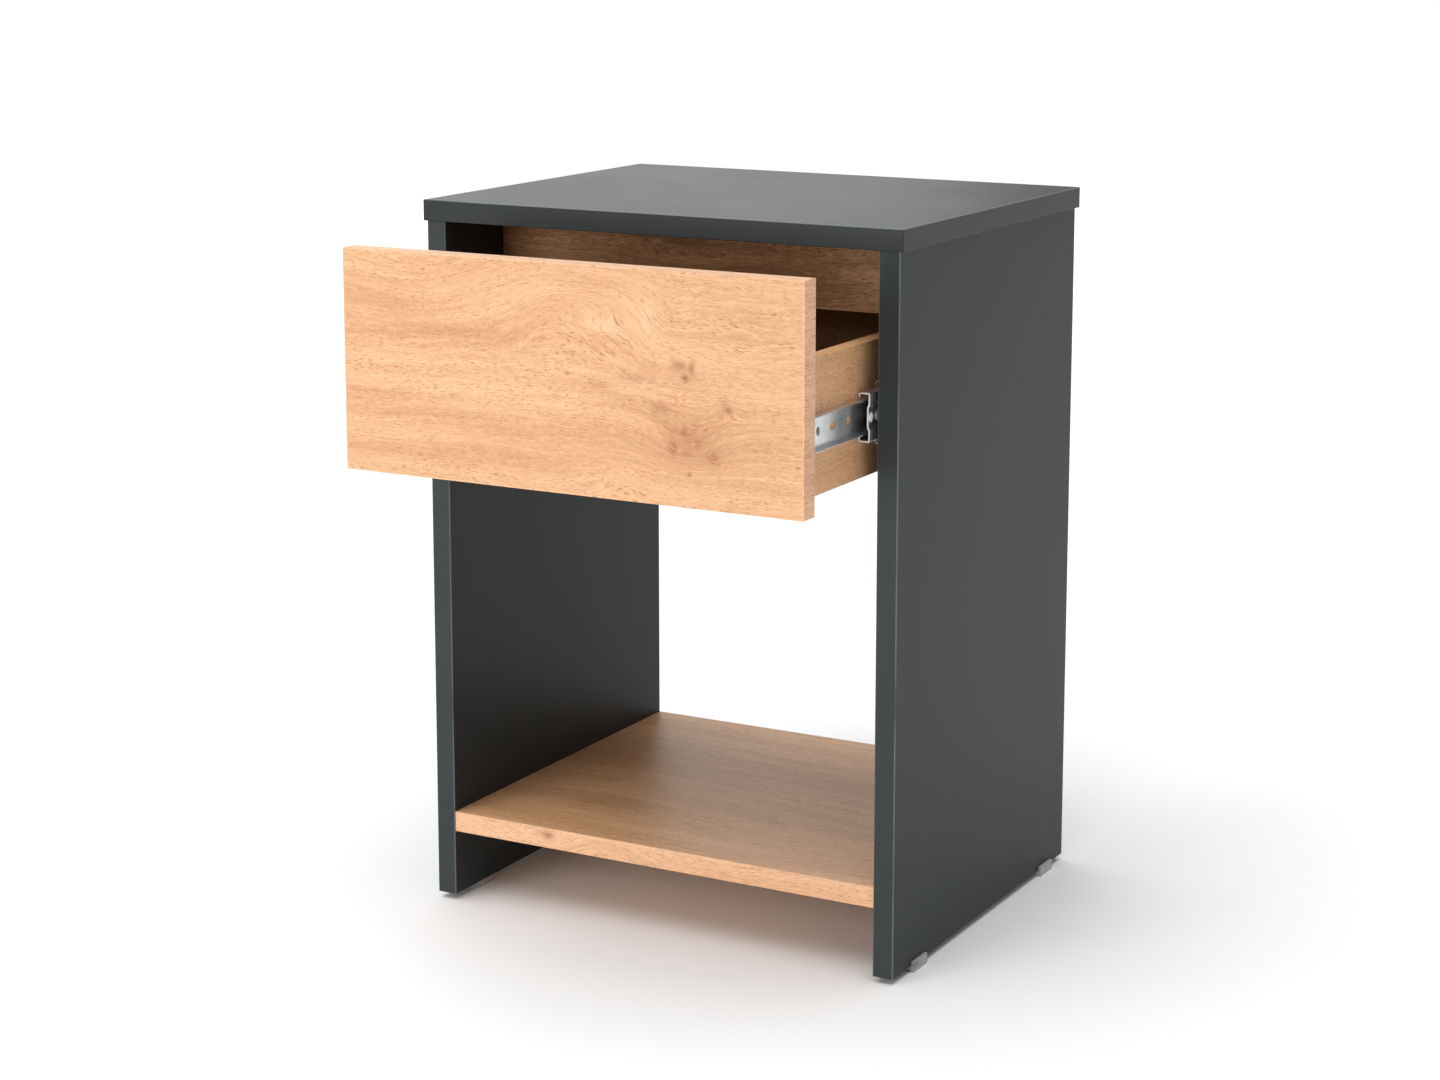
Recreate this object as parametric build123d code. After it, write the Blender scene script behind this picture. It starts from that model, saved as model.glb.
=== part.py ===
from build123d import *
import os

# Bedside table in 16 mm laminated board: top, two sides, open shelf and one drawer on ball-bearing slides.
# Millimetres. X runs left to right, Y front to back, Z up. The working frame has X = 0 at the middle,
# Y = 0 at the front edges of the sides and Z = 0 on the floor. ORIGIN_Y moves it to the export frame,
# whose origin is the bottom centre of the whole table as stored, with its drawer partly open.

# Driving dimensions of the case
WIDTH = 400.0
HEIGHT = 550.0
SIDE_DEPTH = 320.0
BOARD = 16.0
BAND = 1.0
EDGE_ROUND = 0.6
TOP_OVERHANG_SIDE = 3.0
TOP_OVERHANG_FRONT = 1.0
TOP_OVERHANG_BACK = 2.0
GLIDE_HEIGHT = 5.0
SHELF_TOP_Z = 72.0
SHELF_SETBACK = 1.0
RAIL_Y = 80.0
RAIL_BOTTOM_Z = 477.0
BACK_BOTTOM_Z = 350.0

# Driving dimensions of the drawer
DRAWER_OPEN = 106.0
DRAWER_GAP = 1.0
FRONT_WIDTH = 373.0
FRONT_BOTTOM_Z = 366.0
FRONT_HEIGHT = 162.0
BOX_BOARD = 12.0
BOX_BOTTOM_Z = 372.0
BOX_HEIGHT = 96.0
BOX_DEPTH = 298.0
BOTTOM_THICK = 3.0
BOTTOM_Z = 382.0
GROOVE_DEPTH = 5.0

# Driving dimensions of the slides
SLIDE_WIDTH = 12.7
SLIDE_LENGTH = 286.0
SLIDE_Z = 417.0
SLIDE_SETBACK = 15.0
STAGE_TRAVEL = 143.0
MIDDLE_OPEN = 24.0
STEEL = 1.1
MIDDLE_STEEL = 1.0
THIN_STEEL = 0.5
BALL_RADIUS = 1.8

# Derived places
UNDERSIDE_Z = HEIGHT - BOARD
SIDE_OUTER_X = WIDTH / 2 - TOP_OVERHANG_SIDE
SIDE_INNER_X = SIDE_OUTER_X - BOARD
BOX_OUTER_X = SIDE_INNER_X - SLIDE_WIDTH
BOX_INNER_X = BOX_OUTER_X - BOX_BOARD
FRONT_BACK_Y = -DRAWER_GAP - DRAWER_OPEN
FRONT_FACE_Y = FRONT_BACK_Y - BOARD
BOX_BACK_Y = FRONT_BACK_Y + BOX_DEPTH
TOP_BACK_Y = SIDE_DEPTH + TOP_OVERHANG_BACK
ORIGIN_Y = (FRONT_FACE_Y + TOP_BACK_Y) / 2

# Fittings
CAM_RADIUS = 7.4
CAM_DEPTH = 12.2
CAM_SMALL_RADIUS = 5.9
CAM_SMALL_DEPTH = 9.4
CAM_SINK = 0.3
CAM_REACH = 24.0
CAM_CROSS_DEPTH = 1.0
BOLT_THREAD_RADIUS = 2.9
BOLT_THREAD_LENGTH = 10.5
BOLT_SHAFT_RADIUS = 2.5
BOLT_HEAD_RADIUS = 3.3
BOLT_HEAD_LENGTH = 3.0
BOLT_BORE_RADIUS = 4.0
BOLT_SMALL_BORE_RADIUS = 3.5
DOWEL_RADIUS = 4.0
DOWEL_LENGTH = 30.0
DOWEL_BLIND = 11.0
DOWEL_CHAMFER = 0.8
SCREW_HEAD_RADIUS = 3.2
SCREW_RADIUS = 1.8
SCREW_BITE = 10.0
CLEAR = 0.1
OVERCUT = 1.0

# Places of the fittings: along the depth of the case, from the shelf's ends, and up each board
TOP_CAMS_Y = (124.0, 270.0)
TOP_DOWELS_Y = (64.0, 240.0)
SHELF_CAM_INSET = 40.0
SHELF_DOWEL_INSET = 72.0
RAIL_CAM_UP = 36.0
RAIL_DOWEL_UP = 14.0
BACK_CAM_INSET = 30.0
FRONT_CAMS_UP = (30.0, 78.0)
FRONT_DOWEL_UP = 56.0
FRONT_DOWEL_RADIUS = 3.0
BOX_SCREWS_UP = (26.0, 76.0)
BOTTOM_SCREWS_X = (-110.0, 0.0, 110.0)

UP = Vector(0, 0, 1)
BACK = Vector(0, 1, 0)
RIGHT = Vector(1, 0, 0)

parts = {}


def add(name, shape):
    """Files a solid, or one more solid of a group, under its node name."""
    parts.setdefault(name, []).append(shape)


def block(x0, x1, y0, y1, z0, z1):
    """A box between two corners."""
    centre = Pos((x0 + x1) / 2, (y0 + y1) / 2, (z0 + z1) / 2)
    return centre * Box(abs(x1 - x0), abs(y1 - y0), abs(z1 - z0))


def rod(start, direction, radius, length):
    """A round bar from a point along a direction."""
    plane = Plane(origin=start, z_dir=direction)
    return plane * Cylinder(radius, length, align=(Align.CENTER, Align.CENTER, Align.MIN))


def cone(start, direction, radius_start, radius_end, length):
    """A tapered round bar from a point along a direction."""
    plane = Plane(origin=start, z_dir=direction)
    aligned = (Align.CENTER, Align.CENTER, Align.MIN)
    return plane * Cone(radius_start, radius_end, length, align=aligned)


def mirrored(shape):
    """The same piece on the other side of the table."""
    return mirror(shape, about=Plane.YZ)


# ---------------------------------------------------------------- knock-down joints
# Holes are gathered by panel name while the joints are made, and cut when the panel is filed.
holes = {}


def cut(panel, tool):
    """Remembers a hole for a panel."""
    holes.setdefault(panel, []).append(tool)


def cam_joint(seam, into, face, depth_to_face, cam_panel, bolt_panel, node, small=False):
    """A cam lock: the bolt is screwed into bolt_panel at seam, and the cam in cam_panel draws it in.

    seam is the point where the bolt crosses between the panels, into points from bolt_panel into
    cam_panel, and face points out of the face of cam_panel that holds the cam.
    """
    radius = CAM_SMALL_RADIUS if small else CAM_RADIUS
    depth = CAM_SMALL_DEPTH if small else CAM_DEPTH
    bore = BOLT_SMALL_BORE_RADIUS if small else BOLT_BORE_RADIUS
    centre = seam + into * CAM_REACH
    mouth = centre + face * depth_to_face
    top = mouth - face * CAM_SINK
    cam = rod(top - face * depth, face, radius, depth)
    cam -= rod(seam, into, bore - CLEAR, CAM_REACH + BOLT_HEAD_RADIUS)
    for arm in (into, face.cross(into)):
        cam -= Plane(origin=top, x_dir=arm, z_dir=face) * Box(radius * 1.1, radius * 0.24, 2 * CAM_CROSS_DEPTH)
    add(node + "_cams", cam)
    bolt = rod(seam - into * BOLT_THREAD_LENGTH, into, BOLT_THREAD_RADIUS, BOLT_THREAD_LENGTH)
    bolt += rod(seam, into, BOLT_SHAFT_RADIUS, CAM_REACH - BOLT_HEAD_LENGTH / 2)
    bolt += rod(centre - into * BOLT_HEAD_LENGTH / 2, into, BOLT_HEAD_RADIUS, BOLT_HEAD_LENGTH)
    add(node + "_cam_bolts", bolt)
    cut(cam_panel, rod(top - face * depth, face, radius + CLEAR, depth + CAM_SINK + OVERCUT))
    cut(cam_panel, rod(seam - into, into, bore, CAM_REACH + OVERCUT))
    cut(bolt_panel, rod(seam + into, -into, BOLT_THREAD_RADIUS, BOLT_THREAD_LENGTH + OVERCUT))


def dowel(seam, into, deep_panel, blind_panel, node, radius=DOWEL_RADIUS):
    """A glued wooden dowel, DOWEL_BLIND deep in blind_panel and the rest in deep_panel."""
    start = seam - into * DOWEL_BLIND
    pin = rod(start, into, radius, DOWEL_LENGTH)
    pin = chamfer(pin.edges().filter_by(GeomType.CIRCLE), DOWEL_CHAMFER)
    add(node + "_dowels", pin)
    cut(blind_panel, rod(seam + into, -into, radius, DOWEL_BLIND + 1.5))
    cut(deep_panel, rod(seam - into, into, radius, DOWEL_LENGTH - DOWEL_BLIND + 2.0))


def file_panel(name, shape):
    """Files a panel with its drilled holes."""
    for tool in holes.pop(name, []):
        shape -= tool
    add(name, shape)


def softened(shape, axis, side, radius=EDGE_ROUND):
    """Rounds the edges of a band on the face furthest along an axis, or nearest if side is -1."""
    face = shape.faces().sort_by(axis)[-1 if side > 0 else 0]
    return fillet(face.edges(), radius)


# ---------------------------------------------------------------- case
def side_x(hand):
    """Inner and outer X of a side panel, hand -1 for left and 1 for right."""
    return hand * SIDE_INNER_X, hand * SIDE_OUTER_X


def make_case_joints():
    """Cams, bolts and dowels that hold the case together, and the holes they need."""
    for hand, name in ((-1, "side_left"), (1, "side_right")):
        middle_x = hand * (SIDE_INNER_X + BOARD / 2)
        inward = RIGHT * -hand
        outward = RIGHT * hand
        # Top on sides: cams in the inner faces of the sides, bolts in the underside of the top.
        for y in TOP_CAMS_Y:
            seam = Vector(middle_x, y, UNDERSIDE_Z)
            cam_joint(seam, -UP, inward, BOARD / 2, name, "top_panel", "top")
        for y in TOP_DOWELS_Y:
            dowel(Vector(middle_x, y, UNDERSIDE_Z), -UP, name, "top_panel", "top")
        # Shelf between sides: cams in the underside of the shelf, bolts in the sides.
        shelf_mid = SHELF_TOP_Z - BOARD / 2
        for y in (SHELF_CAM_INSET, SIDE_DEPTH - SHELF_CAM_INSET):
            seam = Vector(hand * SIDE_INNER_X, y, shelf_mid)
            cam_joint(seam, inward, -UP, BOARD / 2, "shelf", name, "shelf")
        for y in (SHELF_DOWEL_INSET, SIDE_DEPTH - SHELF_DOWEL_INSET):
            dowel(Vector(hand * SIDE_INNER_X, y, shelf_mid), inward, "shelf", name, "shelf")
        # Rail over the drawer: cams in its rear face.
        rail_mid = RAIL_Y + BOARD / 2
        seam = Vector(hand * SIDE_INNER_X, rail_mid, RAIL_BOTTOM_Z + RAIL_CAM_UP)
        cam_joint(seam, inward, BACK, BOARD / 2, "top_rail", name, "rail")
        seam = Vector(hand * SIDE_INNER_X, rail_mid, RAIL_BOTTOM_Z + RAIL_DOWEL_UP)
        dowel(seam, inward, "top_rail", name, "rail")
        # Back panel: cams in its rear face.
        back_mid = SIDE_DEPTH - BOARD / 2
        for z in (BACK_BOTTOM_Z + BACK_CAM_INSET, UNDERSIDE_Z - BACK_CAM_INSET):
            seam = Vector(hand * SIDE_INNER_X, back_mid, z)
            cam_joint(seam, inward, BACK, BOARD / 2, "back_panel", name, "back")
        seam = Vector(hand * SIDE_INNER_X, back_mid, (BACK_BOTTOM_Z + UNDERSIDE_Z) / 2)
        dowel(seam, inward, "back_panel", name, "back")
        make_slide_screw_holes(hand, name, outward)


def make_top():
    """The top board and the four plastic bands glued round it."""
    x = WIDTH / 2
    y0, y1 = -TOP_OVERHANG_FRONT, TOP_BACK_Y
    z0, z1 = UNDERSIDE_Z, HEIGHT
    core = block(-x + BAND, x - BAND, y0 + BAND, y1 - BAND, z0, z1)
    file_panel("top_panel", core)
    add("top_edge_bands", softened(block(-x, x, y0, y0 + BAND, z0, z1), Axis.Y, -1))
    add("top_edge_bands", softened(block(-x, x, y1 - BAND, y1, z0, z1), Axis.Y, 1))
    for hand in (-1, 1):
        band = block(hand * (x - BAND), hand * x, y0 + BAND, y1 - BAND, z0, z1)
        outer = band.faces().sort_by(Axis.X)[-1 if hand > 0 else 0]
        add("top_edge_bands", fillet(outer.edges().filter_by(Axis.Y), EDGE_ROUND))


def make_sides():
    """The two side boards, each with a band on its front edge and one on its back edge."""
    for hand, name in ((-1, "side_left"), (1, "side_right")):
        x0, x1 = side_x(hand)
        file_panel(name, block(x0, x1, BAND, SIDE_DEPTH - BAND, GLIDE_HEIGHT, UNDERSIDE_Z))
        for y0, y1, way in ((0, BAND, -1), (SIDE_DEPTH - BAND, SIDE_DEPTH, 1)):
            band = block(x0, x1, y0, y1, GLIDE_HEIGHT, UNDERSIDE_Z)
            outer = band.faces().sort_by(Axis.Y)[-1 if way > 0 else 0]
            add(name + "_edge_bands", fillet(outer.edges().filter_by(Axis.Z), EDGE_ROUND))


def make_shelf_rail_and_back():
    """The three boards between the sides."""
    x = SIDE_INNER_X
    z0 = SHELF_TOP_Z - BOARD
    y0 = SHELF_SETBACK
    file_panel("shelf", block(-x, x, y0 + BAND, SIDE_DEPTH, z0, SHELF_TOP_Z))
    band = block(-x, x, y0, y0 + BAND, z0, SHELF_TOP_Z)
    front = band.faces().sort_by(Axis.Y)[0]
    add("shelf_edge_band", fillet(front.edges().filter_by(Axis.X), EDGE_ROUND))
    y0, y1 = RAIL_Y, RAIL_Y + BOARD
    file_panel("top_rail", block(-x, x, y0, y1, RAIL_BOTTOM_Z + BAND, UNDERSIDE_Z))
    add("rail_and_back_edge_bands", block(-x, x, y0, y1, RAIL_BOTTOM_Z, RAIL_BOTTOM_Z + BAND))
    y0, y1 = SIDE_DEPTH - BOARD, SIDE_DEPTH
    file_panel("back_panel", block(-x, x, y0, y1, BACK_BOTTOM_Z + BAND, UNDERSIDE_Z))
    add("rail_and_back_edge_bands", block(-x, x, y0, y1, BACK_BOTTOM_Z, BACK_BOTTOM_Z + BAND))


GLIDE_LENGTH = 23.0
GLIDE_WALL = 2.2
GLIDE_UPSTAND = 3.0
GLIDE_FRONT_Y = 32.0
NAIL_RADIUS = 1.0
NAIL_HEAD_RADIUS = 2.2
NAIL_LENGTH = 16.0
NAIL_HEAD_THICK = 1.0
NAIL_RECESS = 1.5
GLIDE_ROUND = 0.5
GLIDE_BACK_INSET = 26.0
GLIDE_BACK_Y = SIDE_DEPTH - GLIDE_BACK_INSET - GLIDE_LENGTH


def make_glides():
    """Angled plastic glides nailed under the sides, each with a lip up the outer face."""
    for hand, side in ((-1, "left"), (1, "right")):
        for y0, place in ((GLIDE_FRONT_Y, "front"), (GLIDE_BACK_Y, "back")):
            x0, x1 = side_x(hand)
            outer = x1 + hand * GLIDE_WALL
            y1 = y0 + GLIDE_LENGTH
            foot = block(x0, outer, y0, y1, 0, GLIDE_HEIGHT)
            foot += block(x1, outer, y0, y1, 0, GLIDE_HEIGHT + GLIDE_UPSTAND)
            lip = foot.faces().sort_by(Axis.X)[-1 if hand > 0 else 0]
            foot = fillet(lip.edges(), GLIDE_ROUND)
            middle = Vector((x0 + x1) / 2, (y0 + y1) / 2, NAIL_RECESS)
            foot -= rod(middle, -UP, NAIL_HEAD_RADIUS + CLEAR, NAIL_RECESS + OVERCUT)
            foot -= rod(middle - UP, UP, NAIL_RADIUS + CLEAR, GLIDE_HEIGHT)
            add(f"glide_{place}_{side}", foot)
            nail = rod(middle, -UP, NAIL_HEAD_RADIUS, NAIL_HEAD_THICK)
            nail += rod(middle, UP, NAIL_RADIUS, NAIL_LENGTH)
            add("glide_nails", nail)
            cut(f"side_{side}", rod(middle, UP, NAIL_RADIUS, NAIL_LENGTH + OVERCUT))


# ---------------------------------------------------------------- slides
# A section point is (u, v): u from the inner face of the side towards the drawer, v up from the middle.
CASE_HALF = 22.7
MIDDLE_HALF = 17.6
INNER_HALF = 12.6
CASE_SECTION = ((9.2, 19.0), (9.2, CASE_HALF), (0, CASE_HALF), (0, -CASE_HALF), (9.2, -CASE_HALF), (9.2, -19.0))
MIDDLE_U = 2.3
MIDDLE_JOG = 1.6
MIDDLE_SECTION = ((11.0, 14.6), (11.0, MIDDLE_HALF), (MIDDLE_U, MIDDLE_HALF), (MIDDLE_U, 9.0),
                  (MIDDLE_U + MIDDLE_JOG, 7.4), (MIDDLE_U + MIDDLE_JOG, -7.4), (MIDDLE_U, -9.0),
                  (MIDDLE_U, -MIDDLE_HALF), (11.0, -MIDDLE_HALF), (11.0, -14.6))
INNER_SECTION = ((6.4, INNER_HALF), (SLIDE_WIDTH, INNER_HALF), (SLIDE_WIDTH, -INNER_HALF), (6.4, -INNER_HALF))
OUTER_CAGE_U = 1.6
OUTER_CAGE_END = 7.6
INNER_CAGE_U = 5.35
INNER_CAGE_END = 9.6
OUTER_BALL_V = 19.6
INNER_BALL_V = 14.55
OUTER_BALL_U = 5.6
INNER_BALL_U = 7.5
SCREW_AT = (36.0, 132.0, 260.0)
CASE_HOLES_AT = (84.0, 180.0, 220.0)
CASE_HOLE_RADIUS = 3.2
MIDDLE_HOLES_AT = (14.0, 40.0, 110.0, 200.0, 270.0)
MIDDLE_HOLE_RADIUS = 3.6
INNER_SLOTS_AT = (58.0, 160.0, 228.0)
INNER_SLOT_LENGTH = 10.0
INNER_SLOT_WIDTH = 4.4
INNER_HOLE_AT = 82.0
INNER_HOLE_RADIUS = 2.6
FOLD_RADIUS = 0.8


def strip(points, thick, inset):
    """The outline of folded sheet whose outer surface runs through the points, as a face in u, v."""
    line = FilletPolyline(*inset_points(points, inset), radius=FOLD_RADIUS)
    return make_face(offset(line, amount=thick / 2, side=Side.BOTH))


def inset_points(points, inset):
    """Moves the outermost points in by half the sheet's thickness, to give its middle line."""
    low_u, high_u = min(p[0] for p in points), max(p[0] for p in points)
    high_v = max(p[1] for p in points)
    moved = []
    for u, v in points:
        u = u + inset if u == low_u and low_u in (0, MIDDLE_U) else u
        u = u - inset if u == high_u else u
        v = v - inset if v == high_v else v
        v = v + inset if v == -high_v else v
        moved.append((u, v))
    return moved


def slide_member(section, thick, y0, length):
    """A folded member of the right-hand slide: u runs from the right side inwards."""
    face = strip(section, thick, thick / 2)
    plane = Plane(origin=(SIDE_INNER_X, y0, SLIDE_Z), x_dir=(-1, 0, 0), z_dir=(0, 1, 0))
    return extrude(plane * face, amount=length)


def slide_point(u, y, v):
    """A point of the right-hand slide in the working frame."""
    return Vector(SIDE_INNER_X - u, y, SLIDE_Z + v)


def screw(head, into, web):
    """A countersunk screw whose head is flush with the web it holds."""
    body = cone(head, into, SCREW_HEAD_RADIUS, SCREW_RADIUS, web)
    return body + rod(head + into * web, into, SCREW_RADIUS, SCREW_BITE)


def screw_hole(head, into, web):
    """The countersunk hole for screw, through the web only."""
    return cone(head, into, SCREW_HEAD_RADIUS + CLEAR, SCREW_RADIUS + CLEAR, web)


CASE_Y = SLIDE_SETBACK
MIDDLE_Y = SLIDE_SETBACK + 1.0 - MIDDLE_OPEN
INNER_Y = FRONT_BACK_Y + 2.0
MIDDLE_LENGTH = 282.0
INNER_LENGTH = 288.0
CAGE_LENGTH = 96.0
CAGE_MARGIN = 5.0
CAGE_SETBACK = STAGE_TRAVEL / 2 + CAGE_MARGIN
OUTER_CAGE_Y = CASE_Y + CAGE_SETBACK - MIDDLE_OPEN / 2
INNER_CAGE_Y = MIDDLE_Y + CAGE_SETBACK - (DRAWER_OPEN - MIDDLE_OPEN) / 2
BALL_PITCH = 12.0
BALLS = 7
FIRST_BALL = 12.0
BALL_CLEAR = 0.05


def make_slide_screw_holes(hand, name, outward):
    """Pilot holes in a side panel for the screws of its slide."""
    for y in SCREW_AT:
        start = Vector(hand * SIDE_INNER_X, CASE_Y + y, SLIDE_Z) - outward
        cut(name, rod(start, outward, SCREW_RADIUS, SCREW_BITE + 2.0))


def cage(u_web, u_end, v_arm, y0, ball_u):
    """A ball cage: a U-shaped strip with holes in its two arms, and its balls."""
    section = ((u_end, v_arm), (u_web, v_arm), (u_web, -v_arm), (u_end, -v_arm))
    line = FilletPolyline(*section, radius=FOLD_RADIUS)
    face = make_face(offset(line, amount=THIN_STEEL / 2, side=Side.BOTH))
    plane = Plane(origin=(SIDE_INNER_X, y0, SLIDE_Z), x_dir=(-1, 0, 0), z_dir=(0, 1, 0))
    body = extrude(plane * face, amount=CAGE_LENGTH)
    balls = []
    for way in (-1, 1):
        for i in range(BALLS):
            centre = slide_point(ball_u, y0 + FIRST_BALL + i * BALL_PITCH, way * v_arm)
            body -= rod(centre - UP, UP, BALL_RADIUS + BALL_CLEAR, 2.0)
            balls.append(Pos(centre) * Sphere(BALL_RADIUS))
    return body, balls


def make_slides():
    """Both slides, each with three members and two ball cages, the left one mirrored."""
    case = slide_member(CASE_SECTION, STEEL, CASE_Y, SLIDE_LENGTH)
    outward = RIGHT
    case_screws = []
    for y in SCREW_AT:
        head = slide_point(STEEL, CASE_Y + y, 0)
        case -= screw_hole(head, outward, STEEL)
        case_screws.append(screw(head, outward, STEEL))
    for y in CASE_HOLES_AT:
        case -= rod(slide_point(2 * STEEL, CASE_Y + y, 0), outward, CASE_HOLE_RADIUS, 4 * STEEL)
    middle = slide_member(MIDDLE_SECTION, MIDDLE_STEEL, MIDDLE_Y, MIDDLE_LENGTH)
    for y in MIDDLE_HOLES_AT:
        middle -= rod(slide_point(2 * MIDDLE_U, MIDDLE_Y + y, 0), outward, MIDDLE_HOLE_RADIUS, 2 * MIDDLE_U)
    inner = slide_member(INNER_SECTION, STEEL, INNER_Y, INNER_LENGTH)
    inner_screws = []
    for y in SCREW_AT:
        head = slide_point(SLIDE_WIDTH - STEEL, INNER_Y + y, 0)
        inner -= screw_hole(head, -outward, STEEL)
        inner_screws.append(screw(head, -outward, STEEL))
    for y in INNER_SLOTS_AT:
        slot = SlotCenterToCenter(INNER_SLOT_LENGTH - INNER_SLOT_WIDTH, INNER_SLOT_WIDTH)
        plane = Plane(origin=slide_point(SLIDE_WIDTH + 1, INNER_Y + y, 0), x_dir=(0, 1, 0), z_dir=(1, 0, 0))
        inner -= extrude(plane * slot, amount=3.0)
    hole = slide_point(SLIDE_WIDTH + 1, INNER_Y + INNER_HOLE_AT, 0)
    inner -= rod(hole, outward, INNER_HOLE_RADIUS, 3.0)
    lever, pin = release_lever()
    bumpers = end_stops()
    outer_cage, outer_balls = cage(OUTER_CAGE_U, OUTER_CAGE_END, OUTER_BALL_V, OUTER_CAGE_Y, OUTER_BALL_U)
    inner_cage, inner_balls = cage(INNER_CAGE_U, INNER_CAGE_END, INNER_BALL_V, INNER_CAGE_Y, INNER_BALL_U)
    for hand, side in ((1, "right"), (-1, "left")):
        def placed(shape):
            return shape if hand > 0 else mirrored(shape)
        add(f"slide_case_member_{side}", placed(case))
        add(f"slide_middle_member_{side}", placed(middle))
        add(f"slide_drawer_member_{side}", placed(inner))
        add(f"outer_ball_cage_{side}", placed(outer_cage))
        add(f"inner_ball_cage_{side}", placed(inner_cage))
        add(f"release_lever_{side}", placed(lever))
        add("release_lever_pins", placed(pin))
        for bumper in bumpers:
            add(f"slide_end_stop_{side}", placed(bumper))
        for ball in outer_balls:
            add(f"outer_balls_{side}", placed(ball))
        for ball in inner_balls:
            add(f"inner_balls_{side}", placed(ball))
        for item in case_screws:
            add("case_slide_screws", placed(item))
        for item in inner_screws:
            add("drawer_slide_screws", placed(item))


LEVER_PIVOT_Y = INNER_Y + 196.0
LEVER_U = SLIDE_WIDTH - STEEL
LEVER_PIN_RADIUS = 1.5
LEVER_THICK = 1.6
LEVER_GAP = 0.2
LEVER_HUB_RADIUS = 3.6
LEVER_ARM = (24.0, 5.0)
LEVER_TAB = (5.0, 8.0)
LEVER_TAB_LIFT = 1.0
RIVET_HEAD_RADIUS = 2.4
RIVET_HEAD_LENGTH = 0.5


def release_lever():
    """The plastic lever that lets the drawer off the slide, and the rivet that it turns on."""
    start = slide_point(LEVER_U - LEVER_GAP, LEVER_PIVOT_Y, 0)
    inward = RIGHT
    plane = Plane(origin=start, x_dir=(0, 1, 0), z_dir=(1, 0, 0))
    arm = Pos(-LEVER_ARM[0] / 2, 0) * Rectangle(*LEVER_ARM)
    tab = Pos(-LEVER_ARM[0] - OVERCUT, LEVER_TAB_LIFT) * Rectangle(*LEVER_TAB)
    lever = extrude(plane * (arm + Circle(LEVER_HUB_RADIUS) + tab), amount=LEVER_THICK)
    lever -= rod(start - inward, inward, LEVER_PIN_RADIUS + CLEAR / 2, LEVER_THICK + 2 * OVERCUT)
    pin = rod(start - inward * LEVER_GAP, inward, LEVER_PIN_RADIUS, LEVER_THICK + 2 * LEVER_GAP)
    pin += rod(start + inward * (LEVER_THICK + LEVER_GAP), inward, RIVET_HEAD_RADIUS, RIVET_HEAD_LENGTH)
    return lever, pin


STOP_THICK = 1.6
STOP_V = (10.5, 16.5)
STOP_WIDTH = 5.5


def end_stops():
    """Soft stops at the rear of the case member, one above and one below the middle."""
    stops = []
    y = CASE_Y + SLIDE_LENGTH - STOP_THICK
    for way in (-1, 1):
        v0, v1 = way * STOP_V[0], way * STOP_V[1]
        x0, x1 = SIDE_INNER_X - STEEL, SIDE_INNER_X - STEEL - STOP_WIDTH
        stops.append(block(x0, x1, y, y + STOP_THICK, SLIDE_Z + v0, SLIDE_Z + v1))
    return stops


# ---------------------------------------------------------------- drawer
BOX_SCREW_HEAD_RADIUS = 3.5
BOX_SCREW_RADIUS = 2.2
BOX_SCREW_HEAD_LENGTH = 2.4
BOX_SCREW_LENGTH = 30.0
BOX_SCREW_SOCKET_RADIUS = 1.6
BOX_SCREW_SOCKET_DEPTH = 1.4
BOTTOM_SCREW_RADIUS = 1.2
BOTTOM_SCREW_HEAD_RADIUS = 2.4
BOTTOM_SCREW_HEAD_LENGTH = 0.8
BOTTOM_SCREW_LENGTH = 16.0
BOTTOM_SLACK = 0.4


def box_screw(head, into, length):
    """The long screw of the drawer box: a tapered head and a straight shank of the given length."""
    taper = cone(head, into, BOX_SCREW_HEAD_RADIUS, BOX_SCREW_RADIUS, BOX_SCREW_HEAD_LENGTH)
    return taper + rod(head + into * BOX_SCREW_HEAD_LENGTH, into, BOX_SCREW_RADIUS, length)


def socket(head, into):
    """The recess for the key in the head of a box screw."""
    return rod(head - into, into, BOX_SCREW_SOCKET_RADIUS, BOX_SCREW_SOCKET_DEPTH + 1.0)


def make_drawer_joints():
    """Cams and dowels for the drawer front, screws for the drawer back, and their holes."""
    for hand, name in ((-1, "drawer_side_left"), (1, "drawer_side_right")):
        middle_x = hand * (BOX_OUTER_X - BOX_BOARD / 2)
        inward = RIGHT * -hand
        for up in FRONT_CAMS_UP:
            seam = Vector(middle_x, FRONT_BACK_Y, BOX_BOTTOM_Z + up)
            cam_joint(seam, BACK, inward, BOX_BOARD / 2, name, "drawer_front", "drawer_front", small=True)
        seam = Vector(middle_x, FRONT_BACK_Y, BOX_BOTTOM_Z + FRONT_DOWEL_UP)
        dowel(seam, BACK, name, "drawer_front", "drawer_front", radius=FRONT_DOWEL_RADIUS)
        for up in BOX_SCREWS_UP:
            head = Vector(hand * BOX_OUTER_X, BOX_BACK_Y - BOX_BOARD / 2, BOX_BOTTOM_Z + up)
            add("drawer_back_screws", box_screw(head, inward, BOX_SCREW_LENGTH) - socket(head, inward))
            hole = box_screw(head, inward, BOX_SCREW_LENGTH + OVERCUT)
            cut(name, hole)
            cut("drawer_back", hole)
        for y in SCREW_AT:
            start = Vector(hand * BOX_OUTER_X, INNER_Y + y, SLIDE_Z) - inward
            cut(name, rod(start, inward, SCREW_RADIUS, SCREW_BITE + 1.5))


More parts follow.
